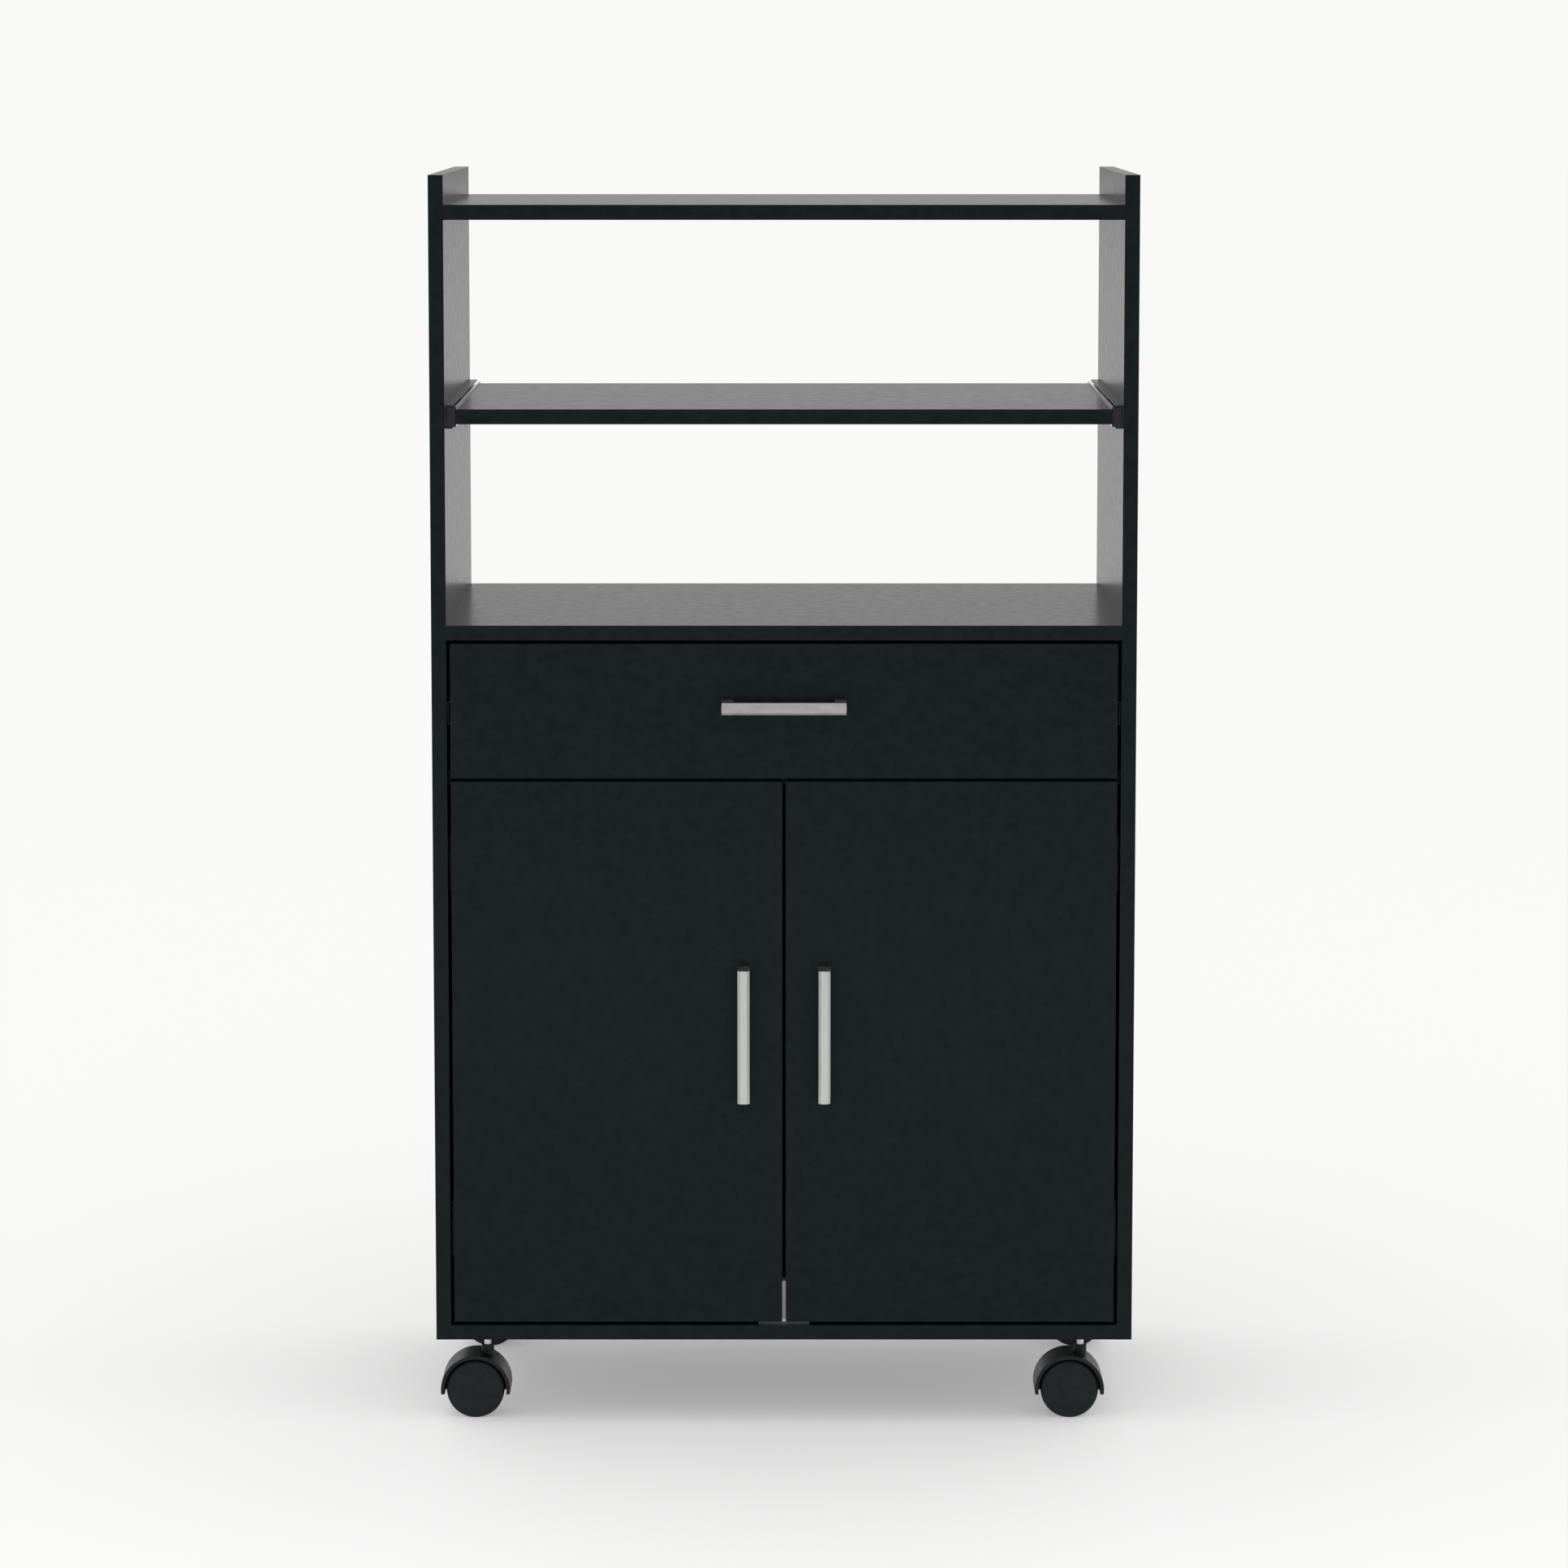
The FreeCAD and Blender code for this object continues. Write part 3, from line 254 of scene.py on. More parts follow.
foil = moulded("black_foil_wrap", "1a1e1f", "202425", sheen=0.22, rough=0.50, grain_mm=1.4, depth_mm=0.02)
hood_nylon = moulded("black_hood_nylon", "101414", "161a1a", sheen=0.2, rough=0.40, grain_mm=0.8,
                     depth_mm=0.015)
wheel_nylon = moulded("black_wheel_nylon", "111616", "171c1c", sheen=0.16, rough=0.42, grain_mm=0.8,
                      depth_mm=0.015)
socket_nylon = moulded("black_socket_nylon", "16191a", "1c1f20", sheen=0.3, rough=0.48, grain_mm=0.8,
                       depth_mm=0.015)
cap_plastic = moulded("black_cap_plastic", "131516", "17191a", sheen=0.35, rough=0.40, grain_mm=0.6,
                      depth_mm=0.01)
catch_plastic = moulded("white_catch_plastic", "e1e1dc", "ebebe8", sheen=0.45, rough=0.34, grain_mm=0.7,
                        depth_mm=0.01)
print("made six plastics and foils")

# %% [markdown]
# ## Nickel, zinc and black steel
# The pulls are zinc castings, brushed along the bar and plated with satin nickel, so their
# brightness comes from the room. Slides and screws are steel in bright zinc, which has a cold
# sheen that drifts from place to place. The slides' fixed rails are stoved black, and the
# hinges are plated with black nickel, so that nothing shines in the gaps beside the doors.
# A real brush leaves lines of about 0.1 mm, and here they are drawn coarser, so that they show.

# %% Metals

BRUSH_LINE = 0.5 * MM
BRUSH_SQUASH = 0.03
ORANGE_PEEL = 1.8 * MM


def satin_nickel(name, along):
    """Satin nickel plate, brushed along one axis of the part."""
    material, tree, shader, place = new_material(name, Metallic=1.0)
    drift = vary(tree, shader, place, period_mm=7.0, low=0.30, high=0.38)
    tint(tree, shader, drift, "c5c6c1", "cdcec9")
    squash = [BRUSH_SQUASH if axis == along else 1.0 for axis in "xyz"]
    scaled = add_node(tree, "ShaderNodeMapping", {"Vector": place, "Scale": squash})
    brush = add_node(tree, "ShaderNodeTexNoise",
                     {"Vector": scaled.outputs["Vector"], "Scale": 1 / BRUSH_LINE, "Detail": 3.0})
    relief(tree, shader, brush.outputs["Fac"], depth_mm=0.006, strength=0.5)
    return material


def plated_steel(name, dark, pale, period_mm, low, high, scratch_mm, depth_mm):
    """Plate on pressed steel: a sheen that drifts with its colour, over fine scratches."""
    material, tree, shader, place = new_material(name, Metallic=1.0)
    drift = vary(tree, shader, place, period_mm, low, high)
    tint(tree, shader, drift, dark, pale, start=0.0, end=1.0)
    scratch = add_node(tree, "ShaderNodeTexNoise",
                       {"Vector": place, "Scale": 1 / (scratch_mm * MM), "Detail": 4.0})
    relief(tree, shader, scratch.outputs["Fac"], depth_mm, strength=0.4)
    return material


def stoved_black():
    """Black stoved coating on rolled steel, with its orange peel."""
    material, tree, shader, place = new_material("black_stoved_steel", Specular_IOR_Level=0.45)
    drift = vary(tree, shader, place, period_mm=8.0, low=0.30, high=0.38)
    tint(tree, shader, drift, "141617", "1a1c1d")
    peel = add_node(tree, "ShaderNodeTexNoise", {"Vector": place, "Scale": 1 / ORANGE_PEEL, "Detail": 1.0})
    relief(tree, shader, peel.outputs["Fac"], depth_mm=0.02, strength=0.4)
    return material


nickel_across = satin_nickel("satin_nickel_brushed_across", "x")
nickel_up = satin_nickel("satin_nickel_brushed_up", "z")
zinc = plated_steel("bright_zinc_plate", "bfc4c6", "d2d3cf", period_mm=5.0, low=0.22, high=0.34,
                    scratch_mm=0.9, depth_mm=0.005)
black_nickel = plated_steel("black_nickel_plate", "303235", "44464a", period_mm=4.0, low=0.28, high=0.38,
                            scratch_mm=0.8, depth_mm=0.004)
black_steel = stoved_black()
print("made five metals")

# %% [markdown]
# ## Beech dowels
# The dowels are fluted beech: pale, with short brown rays along the grain.

# %% Beech

RAY_SQUASH = (0.15, 1, 1)


def beech_wood():
    """Pale beech with fine rays along the dowel."""
    material, tree, shader, place = new_material("fluted_beech", Specular_IOR_Level=0.3)
    rays = vary(tree, shader, place, period_mm=1.5, low=0.50, high=0.62, stretch=RAY_SQUASH)
    tint(tree, shader, rays, "b98a5c", "dcb58a", start=0.0, end=1.0)
    relief(tree, shader, rays, depth_mm=0.03, strength=0.5)
    return material


beech = beech_wood()
print("made", beech.name)

# %% [markdown]
# ## Softened edges
# A sawn and edge-banded board has no knife edge: the band is scraped to a radius of about
# half a millimetre, and that small round is what catches the light along every edge. The
# part's own mesh is sharp, so a copy of it is merged into one skin, given a Bevel, and stands
# for the part. A Bevel keeps the faces where they are, so every board still meets the next.
# Weighted normals then keep each broad face flat, so that no shading bends towards its edge.

# %% A copy with soft edges

SAME_CORNER = 0.002 * MM
SAME_PLANE = math.radians(0.2)
SHARP = math.radians(30)


def merged_skin(node):
    """The part's triangles with their corners joined, still open to edits."""
    skin = bmesh.new()
    skin.from_mesh(NODES[node].data)
    bmesh.ops.remove_doubles(skin, verts=skin.verts, dist=SAME_CORNER)
    return skin


def closed_mesh(shell, name):
    """A mesh with its faces turned outwards; the edited shell is let go."""
    bmesh.ops.recalc_face_normals(shell, faces=shell.faces)
    mesh = bpy.data.meshes.new(name)
    shell.to_mesh(mesh)
    shell.free()
    return mesh


def add_object(name, data):
    """Put a mesh, a lamp or a camera in the scene."""
    item = bpy.data.objects.new(name, data)
    bpy.context.scene.collection.objects.link(item)
    return item


def merged_copy(node):
    """A clean mesh of the part, with whole faces in place of triangles."""
    skin = merged_skin(node)
    bmesh.ops.dissolve_limit(skin, angle_limit=SAME_PLANE, verts=skin.verts, edges=skin.edges)
    mesh = closed_mesh(skin, node + "_skin")
    mesh.materials.clear()
    return mesh


def stand_in(name, mesh, node, *materials):
    """Put a finished mesh in the scene in place of the part."""
    for material in materials:
        mesh.materials.append(material)
    item = add_object(name, mesh)
    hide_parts(node)
    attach(item, BODY_OF[node])
    return item


def soften(item, width_mm, segments=2):
    """Round every sharp edge of a piece with a Bevel, and keep the large faces flat."""
    item.data.shade_smooth()
    bevel = item.modifiers.new("soft_edges", "BEVEL")
    bevel.width = width_mm * MM
    bevel.segments = segments
    bevel.limit_method = "ANGLE"
    bevel.angle_limit = SHARP
    bevel.use_clamp_overlap = True
    bevel.face_strength_mode = "FSTR_ALL"
    flat = item.modifiers.new("flat_faces", "WEIGHTED_NORMAL")
    flat.mode = "FACE_AREA"
    flat.weight = 100
    flat.use_face_influence = True


def add_softened(node, width_mm, material, segments=2):
    """The part with soft edges and one material."""
    soften(stand_in(node + "_soft", merged_copy(node), node, material), width_mm, segments)


BOARDS = ["left_side_panel", "right_side_panel", "top_shelf", "worktop", "cross_rail", "bottom_panel",
          "inner_shelf", "pull_out_shelf", "drawer_front", "left_door", "right_door"]
DRAWER_BOARDS = ["drawer_left_side", "drawer_right_side", "drawer_back"]
for board in BOARDS:
    add_softened(board, 0.5, laminate)
for board in DRAWER_BOARDS:
    add_softened(board, 0.4, foil)
print("softened", len(BOARDS) + len(DRAWER_BOARDS), "boards")

# %% [markdown]
# ## The back and the drawer's bottom
# Both are hardboard, so both have a printed face and a bare one. The faces that look forward
# or up are printed, and all the others keep the brown fibre.

# %% Hardboard pieces


def add_two_faced(node, outward):
    """Hardboard whose faces that look one way are printed black."""
    panel = stand_in(node + "_soft", merged_copy(node), node, hardboard_front, hardboard_back)
    for face in panel.data.polygons:
        face.material_index = 0 if face.normal.dot(outward) > 0.5 else 1
    soften(panel, 0.2, 1)


add_two_faced("back_panel", Vector((0, -1, 0)))
add_two_faced("drawer_bottom", Vector((0, 0, 1)))
print("made the two hardboard pieces")

# %% [markdown]
# ## Pulls, slides and the catch
# A pull is a casting whose long edges are linished before plating. Its Bevel has one step more
# than a board's, so that the highlight rolls over it. Rolled slide steel has barely any radius.

# %% Pulls, slides and catch

PULLS = {"drawer_pull": nickel_across, "left_door_pull": nickel_up, "right_door_pull": nickel_up}
for pull, nickel in PULLS.items():
    add_softened(pull, 0.5, nickel, segments=3)
for rail in ("pullout_slide_outers", "drawer_slide_outers"):
    add_softened(rail, 0.2, black_steel, segments=1)
for rail in ("pullout_slide_inners", "drawer_slide_inners"):
    add_softened(rail, 0.2, zinc, segments=1)
add_softened("pullout_slide_caps", 0.6, cap_plastic)
add_softened("door_catch", 0.6, catch_plastic)
add_softened("caster_sockets", 0.4, socket_nylon)
print("made the pulls, the slides, their caps and the catch")

# %% [markdown]
# ## Casters
# The hoods come from the part's mesh. A wheel is a body of revolution, so it is turned again
# here about its own axle, which its joint in the frame states: a flat tread, a generous round
# at each shoulder, and a closed outer face that domes by half a millimetre.

# %% Hoods and wheels

# A hair less than the part's 25 mm, so that the tread stays inside the part's own box.
WHEEL_RADIUS = 24.98 * MM
WHEEL_START = 2 * MM
WHEEL_END = 20 * MM
SHOULDER = 2.4 * MM
DOME = 0.5 * MM
BORE = 3.05 * MM
BORE_END = 17 * MM
TURN_STEPS = 96
ARC_STEPS = 6


def shoulder_arc(along, outward):
    """The rounded corner between the tread and a face, from the tread side."""
    centre = along - outward * SHOULDER
    angles = [math.radians(90 * step / ARC_STEPS) for step in range(ARC_STEPS + 1)]
    return [(WHEEL_RADIUS - SHOULDER + SHOULDER * math.cos(a), centre + outward * SHOULDER * math.sin(a))
            for a in angles]


def wheel_profile():
    """Radius and place along the axle, from the bore's blind end round towards the dome's middle."""
    inner_corner = shoulder_arc(WHEEL_START, -1)[::-1]
    outer_corner = shoulder_arc(WHEEL_END - DOME, 1)
    flat = WHEEL_RADIUS - SHOULDER
    shares = [1 - step / ARC_STEPS for step in range(1, ARC_STEPS)]
    dome = [(flat * share, WHEEL_END - DOME * share ** 2) for share in shares]
    return [(BORE, BORE_END), (BORE, WHEEL_START), *inner_corner, *outer_corner, *dome]


def add_turned_wheel(node, joint):
    """A wheel turned about the axle that its joint states."""
    low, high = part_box(node)
    centre, axle = Vector(joint["pos_m"]), Vector(joint["axis"])
    if axle.dot((low + high) / 2 - centre) < 0:
        axle.negate()
    up = Vector((0, 0, 1))
    across = axle.cross(up)
    lathe = bmesh.new()
    rings = []
    for radius, along in wheel_profile():
        ring = []
        for step in range(TURN_STEPS):
            angle = math.tau * step / TURN_STEPS
            spoke = across * math.cos(angle) + up * math.sin(angle)
            ring.append(lathe.verts.new(centre + axle * along + spoke * radius))
        rings.append(ring)
    for first, second in zip(rings, rings[1:]):
        for step in range(TURN_STEPS):
            after = (step + 1) % TURN_STEPS
            lathe.faces.new((first[step], first[after], second[after], second[step]))
    for ring, along in ((rings[-1], WHEEL_END), (rings[0], BORE_END)):
        middle = lathe.verts.new(centre + axle * along)
        for step in range(TURN_STEPS):
            lathe.faces.new((ring[step], ring[(step + 1) % TURN_STEPS], middle))
    mesh = closed_mesh(lathe, node + "_turned")
    mesh.shade_smooth()
    stand_in(node + "_turned", mesh, node, wheel_nylon)


CORNERS = ("front_left", "front_right", "rear_left", "rear_right")
SPINS = {joint["child"]: joint for joint in frame["joints"] if joint["name"].endswith("_wheel_spin")}
for corner in CORNERS:
    add_softened(corner + "_caster_hood", 0.6, hood_nylon)
    for place in ("front", "back"):
        add_turned_wheel(f"{corner}_caster_{place}_wheel", SPINS[f"{corner}_{place}_wheel"])
print("made", len(CORNERS), "hoods and", len(SPINS), "wheels")

# %% [markdown]
# ## Screws and cam locks, set out by Geometry Nodes
# The stand holds dozens of the same few fasteners, so modelling each one would be slow and
# would never stay alike. Each is drawn once instead, as a head of unit size with a cross recess
# and a plain shank of unit size, and both are then stretched to each fastener's own sizes.

# %% One head and one shank of unit size

# Shares of the head's radius and height, and of the shank's.
HEAD_BROW = 0.55
HEAD_CROWN = 0.8
RECESS_REACH = 0.56
RECESS_HALF = 0.13
RECESS_FLOOR = 0.25
RECESS_FLOOR_REACH = 0.42
RECESS_FLOOR_HALF = 0.08
SHANK_WAIST = -0.82
SHANK_TIP = 0.35
ROUND = 40


def ring_at(shell, radius, height):
    """A ring of corners round the Z axis."""
    angles = [math.tau * step / ROUND for step in range(ROUND)]
    return [shell.verts.new((radius * math.cos(a), radius * math.sin(a), height)) for a in angles]


def join_rings(shell, low, high):
    """Walls between two rings of as many corners."""
    count = len(low)
    for step in range(count):
        after = (step + 1) % count
        shell.faces.new((low[step], low[after], high[after], high[step]))


def ring_edges(ring):
    """The edges between the neighbours of a ring whose walls are in place."""
    return [edge for first, second in zip(ring, ring[1:] + ring[:1])
            for edge in first.link_edges if edge.other_vert(first) is second]


def cross_corners(shell, reach, half, height):
    """The twelve corners of a cross."""
    outline = [(reach, half), (half, half), (half, reach),
               (-half, reach), (-half, half), (-reach, half),
               (-reach, -half), (-half, -half), (-half, -reach),
               (half, -reach), (half, -half), (reach, -half)]
    return [shell.verts.new((x, y, height)) for x, y in outline]


def recessed_head():
    """A head of radius 1 and height 1 with a cross recess in its top."""
    shell = bmesh.new()
    foot = ring_at(shell, 1.0, 0.0)
    brow = ring_at(shell, 1.0, HEAD_BROW)
    crown = ring_at(shell, HEAD_CROWN, 1.0)
    mouth = cross_corners(shell, RECESS_REACH, RECESS_HALF, 1.0)
    floor = cross_corners(shell, RECESS_FLOOR_REACH, RECESS_FLOOR_HALF, RECESS_FLOOR)
    join_rings(shell, foot, brow)
    join_rings(shell, brow, crown)
    join_rings(shell, floor, mouth)
    shell.faces.new(foot[::-1])
    shell.faces.new(floor)
    bmesh.ops.triangle_fill(shell, edges=ring_edges(crown) + ring_edges(mouth), use_beauty=True)
    return bpy.data.objects.new("cross_head", closed_mesh(shell, "cross_head"))


def plain_shank():
    """A shank of radius 1 that runs 1 down from the head and tapers at its tip."""
    shell = bmesh.new()
    top = ring_at(shell, 1.0, 0.0)
    waist = ring_at(shell, 1.0, SHANK_WAIST)
    tip = ring_at(shell, SHANK_TIP, -1.0)
    join_rings(shell, waist, top)
    join_rings(shell, tip, waist)
    shell.faces.new(top)
    shell.faces.new(tip[::-1])
    return bpy.data.objects.new("plain_shank", closed_mesh(shell, "plain_shank"))


head = recessed_head()
shank = plain_shank()
print("drew", head.name, "and", shank.name)

# %% [markdown]
# ## Where each fastener sits
# A part that holds many fasteners is one mesh with as many loose islands. An island tells its
# own story: the two sizes that agree lie across it, the third runs along it, and the end with
# the widest ring is the head. That gives the seat, the direction and the sizes, so none of
# them has to be written down twice.

# %% Read the fasteners of a part as islands

# Shares of the widest radius: what counts as the head's rim, and what as the shank.
RIM = 0.98
BELOW_HEAD = 0.9

# Two places this close along a fastener are the same end of it.
SAME_END = 0.01 * MM


def islands(node):
    """The loose solids of a part, each as a list of corners."""
    skin = merged_skin(node)
    seen, found = set(), []
    for start in skin.verts:
        if start in seen:
            continue
        group, front = [], [start]
        seen.add(start)
        while front:
            corner = front.pop()
            group.append(corner.co.copy())
            for edge in corner.link_edges:
                other = edge.other_vert(corner)
                if other not in seen:
                    seen.add(other)
                    front.append(other)
        found.append(group)
    skin.free()
    return found


def spread(values):
    """How far a list of numbers reaches."""
    return max(values) - min(values)


def fastener(corners):
    """The seat, the direction of the head and the sizes of one fastener."""
    sizes = [spread([corner[axis] for corner in corners]) for axis in range(3)]
    axis = max(range(3), key=lambda a: min(abs(sizes[a] - sizes[b]) for b in range(3) if b != a))
    others = [b for b in range(3) if b != axis]
    middle = [(max(c[b] for c in corners) + min(c[b] for c in corners)) / 2 for b in range(3)]

    def radius(corner):
        return math.hypot(corner[others[0]] - middle[others[0]], corner[others[1]] - middle[others[1]])

    widest = max(radius(corner) for corner in corners)
    wide = [corner[axis] for corner in corners if radius(corner) > RIM * widest]
    narrow = [corner for corner in corners if radius(corner) < BELOW_HEAD * widest]
    low, high = min(c[axis] for c in corners), max(c[axis] for c in corners)
    sign = 1 if max(wide) > high - SAME_END else -1
    seat = min(wide) if sign > 0 else max(wide)
    direction = [0.0, 0.0, 0.0]
    direction[axis] = float(sign)
    middle[axis] = seat
    thin = max((radius(corner) for corner in narrow), default=0.0)
    shank_length = (seat - low) if sign > 0 else (high - seat)
    return middle, direction, (widest, widest, spread(wide)), (thin, thin, shank_length)


print("islands in the carcass screws:", len(islands("carcass_screws")))

# %% [markdown]
# ## The node group
# Geometry Nodes suit a shape that repeats: one tree serves every screw, and its inputs say
# which head, which shank, which finish and which seed. Each point carries a direction and two
# sizes. The tree sets a head and a shank on it and turns them by a random angle, as a fitter
# leaves them. It ends in real geometry, because instances don't survive an export.

# %% A node group that sets fasteners on points


def fastener_group():
    """Geometry Nodes: a head and a shank on every point, sized and turned."""
    group = bpy.data.node_groups.new("set_fasteners", "GeometryNodeTree")
    face = group.interface
    face.new_socket("Geometry", in_out="INPUT", socket_type="NodeSocketGeometry")
    face.new_socket("Head", in_out="INPUT", socket_type="NodeSocketObject")
    face.new_socket("Shank", in_out="INPUT", socket_type="NodeSocketObject")
    face.new_socket("Seed", in_out="INPUT", socket_type="NodeSocketInt")
    face.new_socket("Finish", in_out="INPUT", socket_type="NodeSocketMaterial")
    face.new_socket("Geometry", in_out="OUTPUT", socket_type="NodeSocketGeometry")
    given = add_node(group, "NodeGroupInput").outputs
    points = add_node(group, "GeometryNodeMeshToPoints", {"Mesh": given["Geometry"]}).outputs["Points"]

    def live(sockets, name):
        """The one socket of that name that the node's data type switches on."""
        return next(socket for socket in sockets if socket.name == name and socket.enabled)

    def named(name):
        """What each point carries under a name."""
        stored = add_node(group, "GeometryNodeInputNamedAttribute", {"Name": name},
                          data_type="FLOAT_VECTOR")
        return live(stored.outputs, "Attribute")

    aim = add_node(group, "FunctionNodeAlignRotationToVector", {"Vector": named("direction")}, axis="Z")
    chance = add_node(group, "FunctionNodeRandomValue", {"Seed": given["Seed"]}, data_type="FLOAT")
    live(chance.inputs, "Max").default_value = math.tau
    spin = add_node(group, "FunctionNodeAxisAngleToRotation",
                    {"Axis": (0, 0, 1), "Angle": live(chance.outputs, "Value")})
    turn = add_node(group, "FunctionNodeRotateRotation",
                    {"Rotation": aim.outputs["Rotation"], "Rotate By": spin.outputs["Rotation"]},
                    rotation_space="LOCAL")
    whole = add_node(group, "GeometryNodeJoinGeometry")
    for part, sizes in (("Head", "head_size"), ("Shank", "shank_size")):
        shape = add_node(group, "GeometryNodeObjectInfo", {"Object": given[part]}).outputs["Geometry"]
        placed = add_node(group, "GeometryNodeInstanceOnPoints",
                          {"Points": points, "Instance": shape, "Rotation": turn.outputs["Rotation"],
                           "Scale": named(sizes)})
        group.links.new(placed.outputs["Instances"], whole.inputs["Geometry"])
    solid = add_node(group, "GeometryNodeRealizeInstances", {"Geometry": whole.outputs["Geometry"]})
    painted = add_node(group, "GeometryNodeSetMaterial",
                       {"Geometry": solid.outputs["Geometry"], "Material": given["Finish"]})
    add_node(group, "NodeGroupOutput", {"Geometry": painted.outputs["Geometry"]})
    return group


SET_FASTENERS = fastener_group()
SOCKETS = {item.name: item.identifier for item in SET_FASTENERS.interface.items_tree
           if item.in_out == "INPUT"}
print("the group's inputs:", sorted(SOCKETS))

# %% [markdown]
# ## Screws on their bodies
# Each part's points go through the tree once. The result is read back as a plain mesh, and
# the modifier is taken off again, so that what rides on a body is simple geometry. A cam lock
# has no shank, so it gets only the head.

# %% Set the fasteners and bake each body's to a plain mesh


def set_fasteners(node, seed, shank_shape):
    """One plain mesh that stands for a part made of many fasteners."""
    rows = [fastener(corners) for corners in islands(node)]
    cloud = bpy.data.meshes.new(node + "_points")
    cloud.from_pydata([seat for seat, _, _, _ in rows], [], [])
    for column, name in ((1, "direction"), (2, "head_size"), (3, "shank_size")):
        values = cloud.attributes.new(name, "FLOAT_VECTOR", "POINT")
        for number, row in enumerate(rows):
            values.data[number].vector = row[column]
    item = add_object(node + "_set", cloud)
    setting = item.modifiers.new("set_fasteners", "NODES")
    setting.node_group = SET_FASTENERS
    setting[SOCKETS["Head"]] = head
    setting[SOCKETS["Shank"]] = shank_shape
    setting[SOCKETS["Seed"]] = seed
    setting[SOCKETS["Finish"]] = zinc
    graph = bpy.context.evaluated_depsgraph_get()
    baked = bpy.data.meshes.new_from_object(item.evaluated_get(graph), depsgraph=graph)
    item.modifiers.remove(setting)
    item.data = baked
    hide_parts(node)
    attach(item, BODY_OF[node])
    return len(rows), len(baked.polygons)


SCREWED = ["carcass_screws", "pullout_shelf_screws", "drawer_pull_screws", "drawer_screws",
           "left_door_screws", "right_door_screws"]
for seed, node in enumerate(SCREWED, start=1):
    print(node, *set_fasteners(node, seed, shank))
print("cam_locks", *set_fasteners("cam_locks", len(SCREWED) + 1, None))

# %% [markdown]
# ## The rest of the frame
# Hinges, strike plates, ball cages, stems, pins, bolts and dowels are small and sit mostly
# inside the stand, where hardly an edge catches the light. They keep their shape from the
# frame, and each gets its real finish.

# %% Finishes for the parts that stay

FINISH = {"zinc_steel": zinc, "black_nickel_steel": black_nickel, "beech": beech}
for name, item in NODES.items():
    if not item.hide_render:
        finish = FINISH[SLOT_OF[name]]
        for holder in item.material_slots:
            holder.material = finish
        print(name, "keeps its shape, in", finish.name)

# %% [markdown]
# ## Studio floor
# The stand is lit as small furniture is for a catalogue: on a sheet of white acrylic that is
# faintly lit from below, in front of a wide white wall that curves round the set. A plain white
# floor would go grey under the stand. The glow of the acrylic keeps that shadow soft and open.
# The sheet ends a few metres in front of the stand, where the floor of the studio begins.

# %% Floor

FLOOR_REACH = 60.0
FLOOR_FRONT = -3.2
BACKLIGHT = 0.26


def lit_acrylic():
    """Matt white acrylic with an even glow from below."""
    material, tree, shader, place = new_material(
        "backlit_white_acrylic", Base_Color=linear("d5d5d4"), Specular_IOR_Level=0.0,
        Emission_Color=linear("ffffff"), Emission_Strength=BACKLIGHT)
    vary(tree, shader, place, period_mm=60.0, low=0.90, high=1.0)
    return material


sheet = bpy.data.meshes.new("studio_floor")
sheet.from_pydata([(-FLOOR_REACH, FLOOR_FRONT, 0.0), (FLOOR_REACH, FLOOR_FRONT, 0.0),
                   (FLOOR_REACH, FLOOR_REACH, 0.0), (-FLOOR_REACH, FLOOR_REACH, 0.0)], [], [(0, 1, 2, 3)])
sheet.materials.append(lit_acrylic())
floor = add_object("studio_floor", sheet)
print("laid the floor")

# %% [markdown]
# ## Studio light
# The wall is the world itself, and it plays three parts. Seen straight on it is plain white.
# As a source of light it is even, but brighter behind the stand, which opens the shadow towards
# the front. In a mirror it is bright above the horizon, darker towards the ceiling, and dim
# where the studio lies behind the camera: that keeps the black boards black and gives the
# nickel its contrast. Two softboxes help it, one above the stand and a low, wide one in front,
# which reaches the fronts of the casters.

# %% Light

# How bright the wall is to the eye, and as a source of light.
WALL_SEEN = 0.94
WALL_FILL = 0.96

# Behind the stand the wall gives this many times as much light. The lift grows while the way
# to the wall points backwards by between these two shares.
REAR_LIFT = 1.8
REAR_FROM = 0.6
REAR_TO = 0.85

# Glossy surfaces see the studio behind the camera dim: how bright, and between which measures
# of the way along a slanting direction.
STUDIO_DIM = 0.3
BRIGHT_SIDE = (0.0, 1.0, 1.2)
DIM_FROM = -0.7
DIM_TO = -0.1

# What glossy surfaces see of the wall: the sine of the height above the horizon, and how bright.
WALL_GLOW = [(0.0, 0.25), (0.10, 0.90), (0.25, 0.90), (0.70, 0.60)]

world = bpy.data.worlds.new("white_studio")
bpy.context.scene.world = world
world.use_nodes = True
air = world.node_tree
air.nodes.clear()
ray = add_node(air, "ShaderNodeLightPath").outputs
mirror = add_node(air, "ShaderNodeMath", {0: ray["Is Glossy Ray"], 1: ray["Is Transmission Ray"]},
                  operation="ADD", use_clamp=True).outputs["Value"]
way = add_node(air, "ShaderNodeTexCoord").outputs["Generated"]
aim = add_node(air, "ShaderNodeSeparateXYZ", {"Vector": way}).outputs
glow = add_node(air, "ShaderNodeValToRGB", {"Fac": aim["Z"]})
toward = add_node(air, "ShaderNodeVectorMath", {0: way, 1: BRIGHT_SIDE},
                  operation="DOT_PRODUCT").outputs["Value"]
dim = add_node(air, "ShaderNodeMapRange",
               {"Value": toward, "From Min": DIM_FROM, "From Max": DIM_TO,
                "To Min": STUDIO_DIM, "To Max": 1.0}).outputs["Result"]
lift = add_node(air, "ShaderNodeMapRange",
                {"Value": aim["Y"], "From Min": REAR_FROM, "From Max": REAR_TO,
                 "To Min": WALL_FILL, "To Max": WALL_FILL * REAR_LIFT}).outputs["Result"]
stops = glow.color_ramp.elements
for _ in WALL_GLOW[2:]:
    stops.new(0.5)
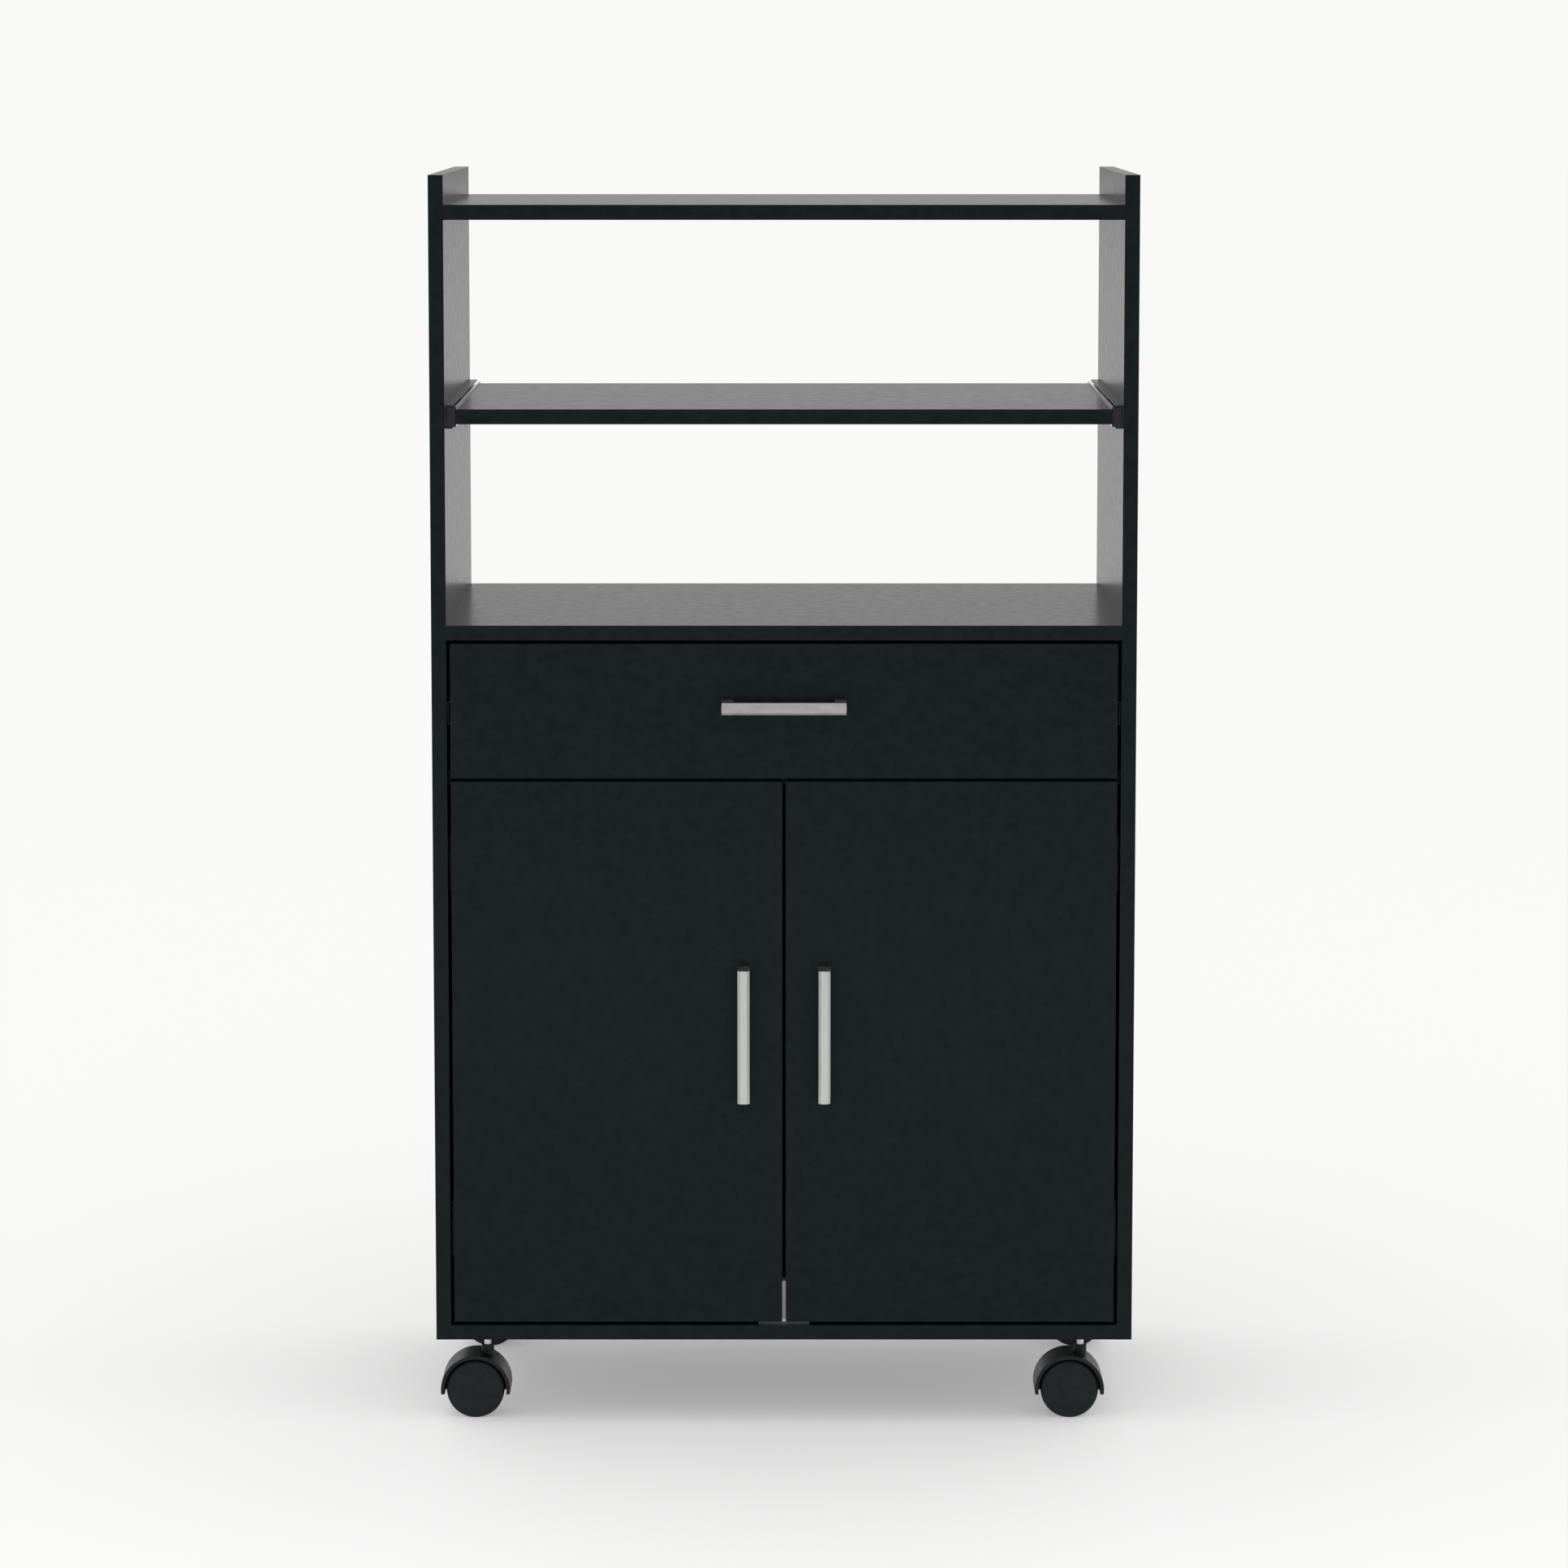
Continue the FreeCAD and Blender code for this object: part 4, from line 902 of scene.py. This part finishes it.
for stop, (sine, strength) in zip(stops, WALL_GLOW):
    stop.position = sine
    stop.color = (strength, strength, strength, 1.0)
fill = add_node(air, "ShaderNodeBackground", {"Color": linear("ffffff"), "Strength": lift})
mirrored = add_node(air, "ShaderNodeBackground", {"Color": glow.outputs["Color"], "Strength": dim})
wall = add_node(air, "ShaderNodeBackground", {"Color": linear("fffffe"), "Strength": WALL_SEEN})
unseen = add_node(air, "ShaderNodeMixShader",
                  {"Fac": mirror, 1: fill.outputs["Background"], 2: mirrored.outputs["Background"]})
both = add_node(air, "ShaderNodeMixShader",
                {"Fac": ray["Is Camera Ray"], 1: unseen.outputs["Shader"], 2: wall.outputs["Background"]})
add_node(air, "ShaderNodeOutputWorld", {"Surface": both.outputs["Shader"]})


def add_softbox(name, place, target, size, watts, in_mirrors):
    """An oblong area light that looks at a point."""
    lamp = bpy.data.lights.new(name, "AREA")
    lamp.shape = "RECTANGLE"
    lamp.size, lamp.size_y = size
    lamp.energy = watts
    item = add_object(name, lamp)
    item.visible_glossy = in_mirrors
    item.visible_camera = False
    item.location = place
    item.rotation_euler = (Vector(target) - Vector(place)).to_track_quat("-Z", "Y").to_euler()


add_softbox("overhead_softbox", place=(0.0, -0.8, 4.6), target=(0.0, 0.0, 0.3), size=(4.0, 4.0),
            watts=6.0, in_mirrors=True)
add_softbox("front_softbox", place=(0.0, -3.2, 0.45), target=(0.0, 0.0, 0.2), size=(2.4, 0.6),
            watts=50.0, in_mirrors=False)
bpy.context.scene.view_settings.view_transform = "Standard"
print("lit the studio")

# %% [markdown]
# ## Camera
# A long lens from five metres, a little above the stand, looks at the front square on. It tilts
# down by seven degrees, which centres the stand in the square frame without any shift.

# %% Camera

EYE = (0.0, -5.036, 1.1677)
DOWNWARD_TILT = 7.16
FOCAL_MM = 131.6
FILM_MM = 36.0
FARTHEST = 200.0

lens = bpy.data.cameras.new("front_camera")
lens.sensor_width = FILM_MM
lens.lens = FOCAL_MM
lens.clip_end = FARTHEST
camera = add_object("front_camera", lens)
camera.location = EYE
camera.rotation_euler = (math.radians(90 - DOWNWARD_TILT), 0.0, 0.0)
bpy.context.scene.camera = camera
print("placed the camera")
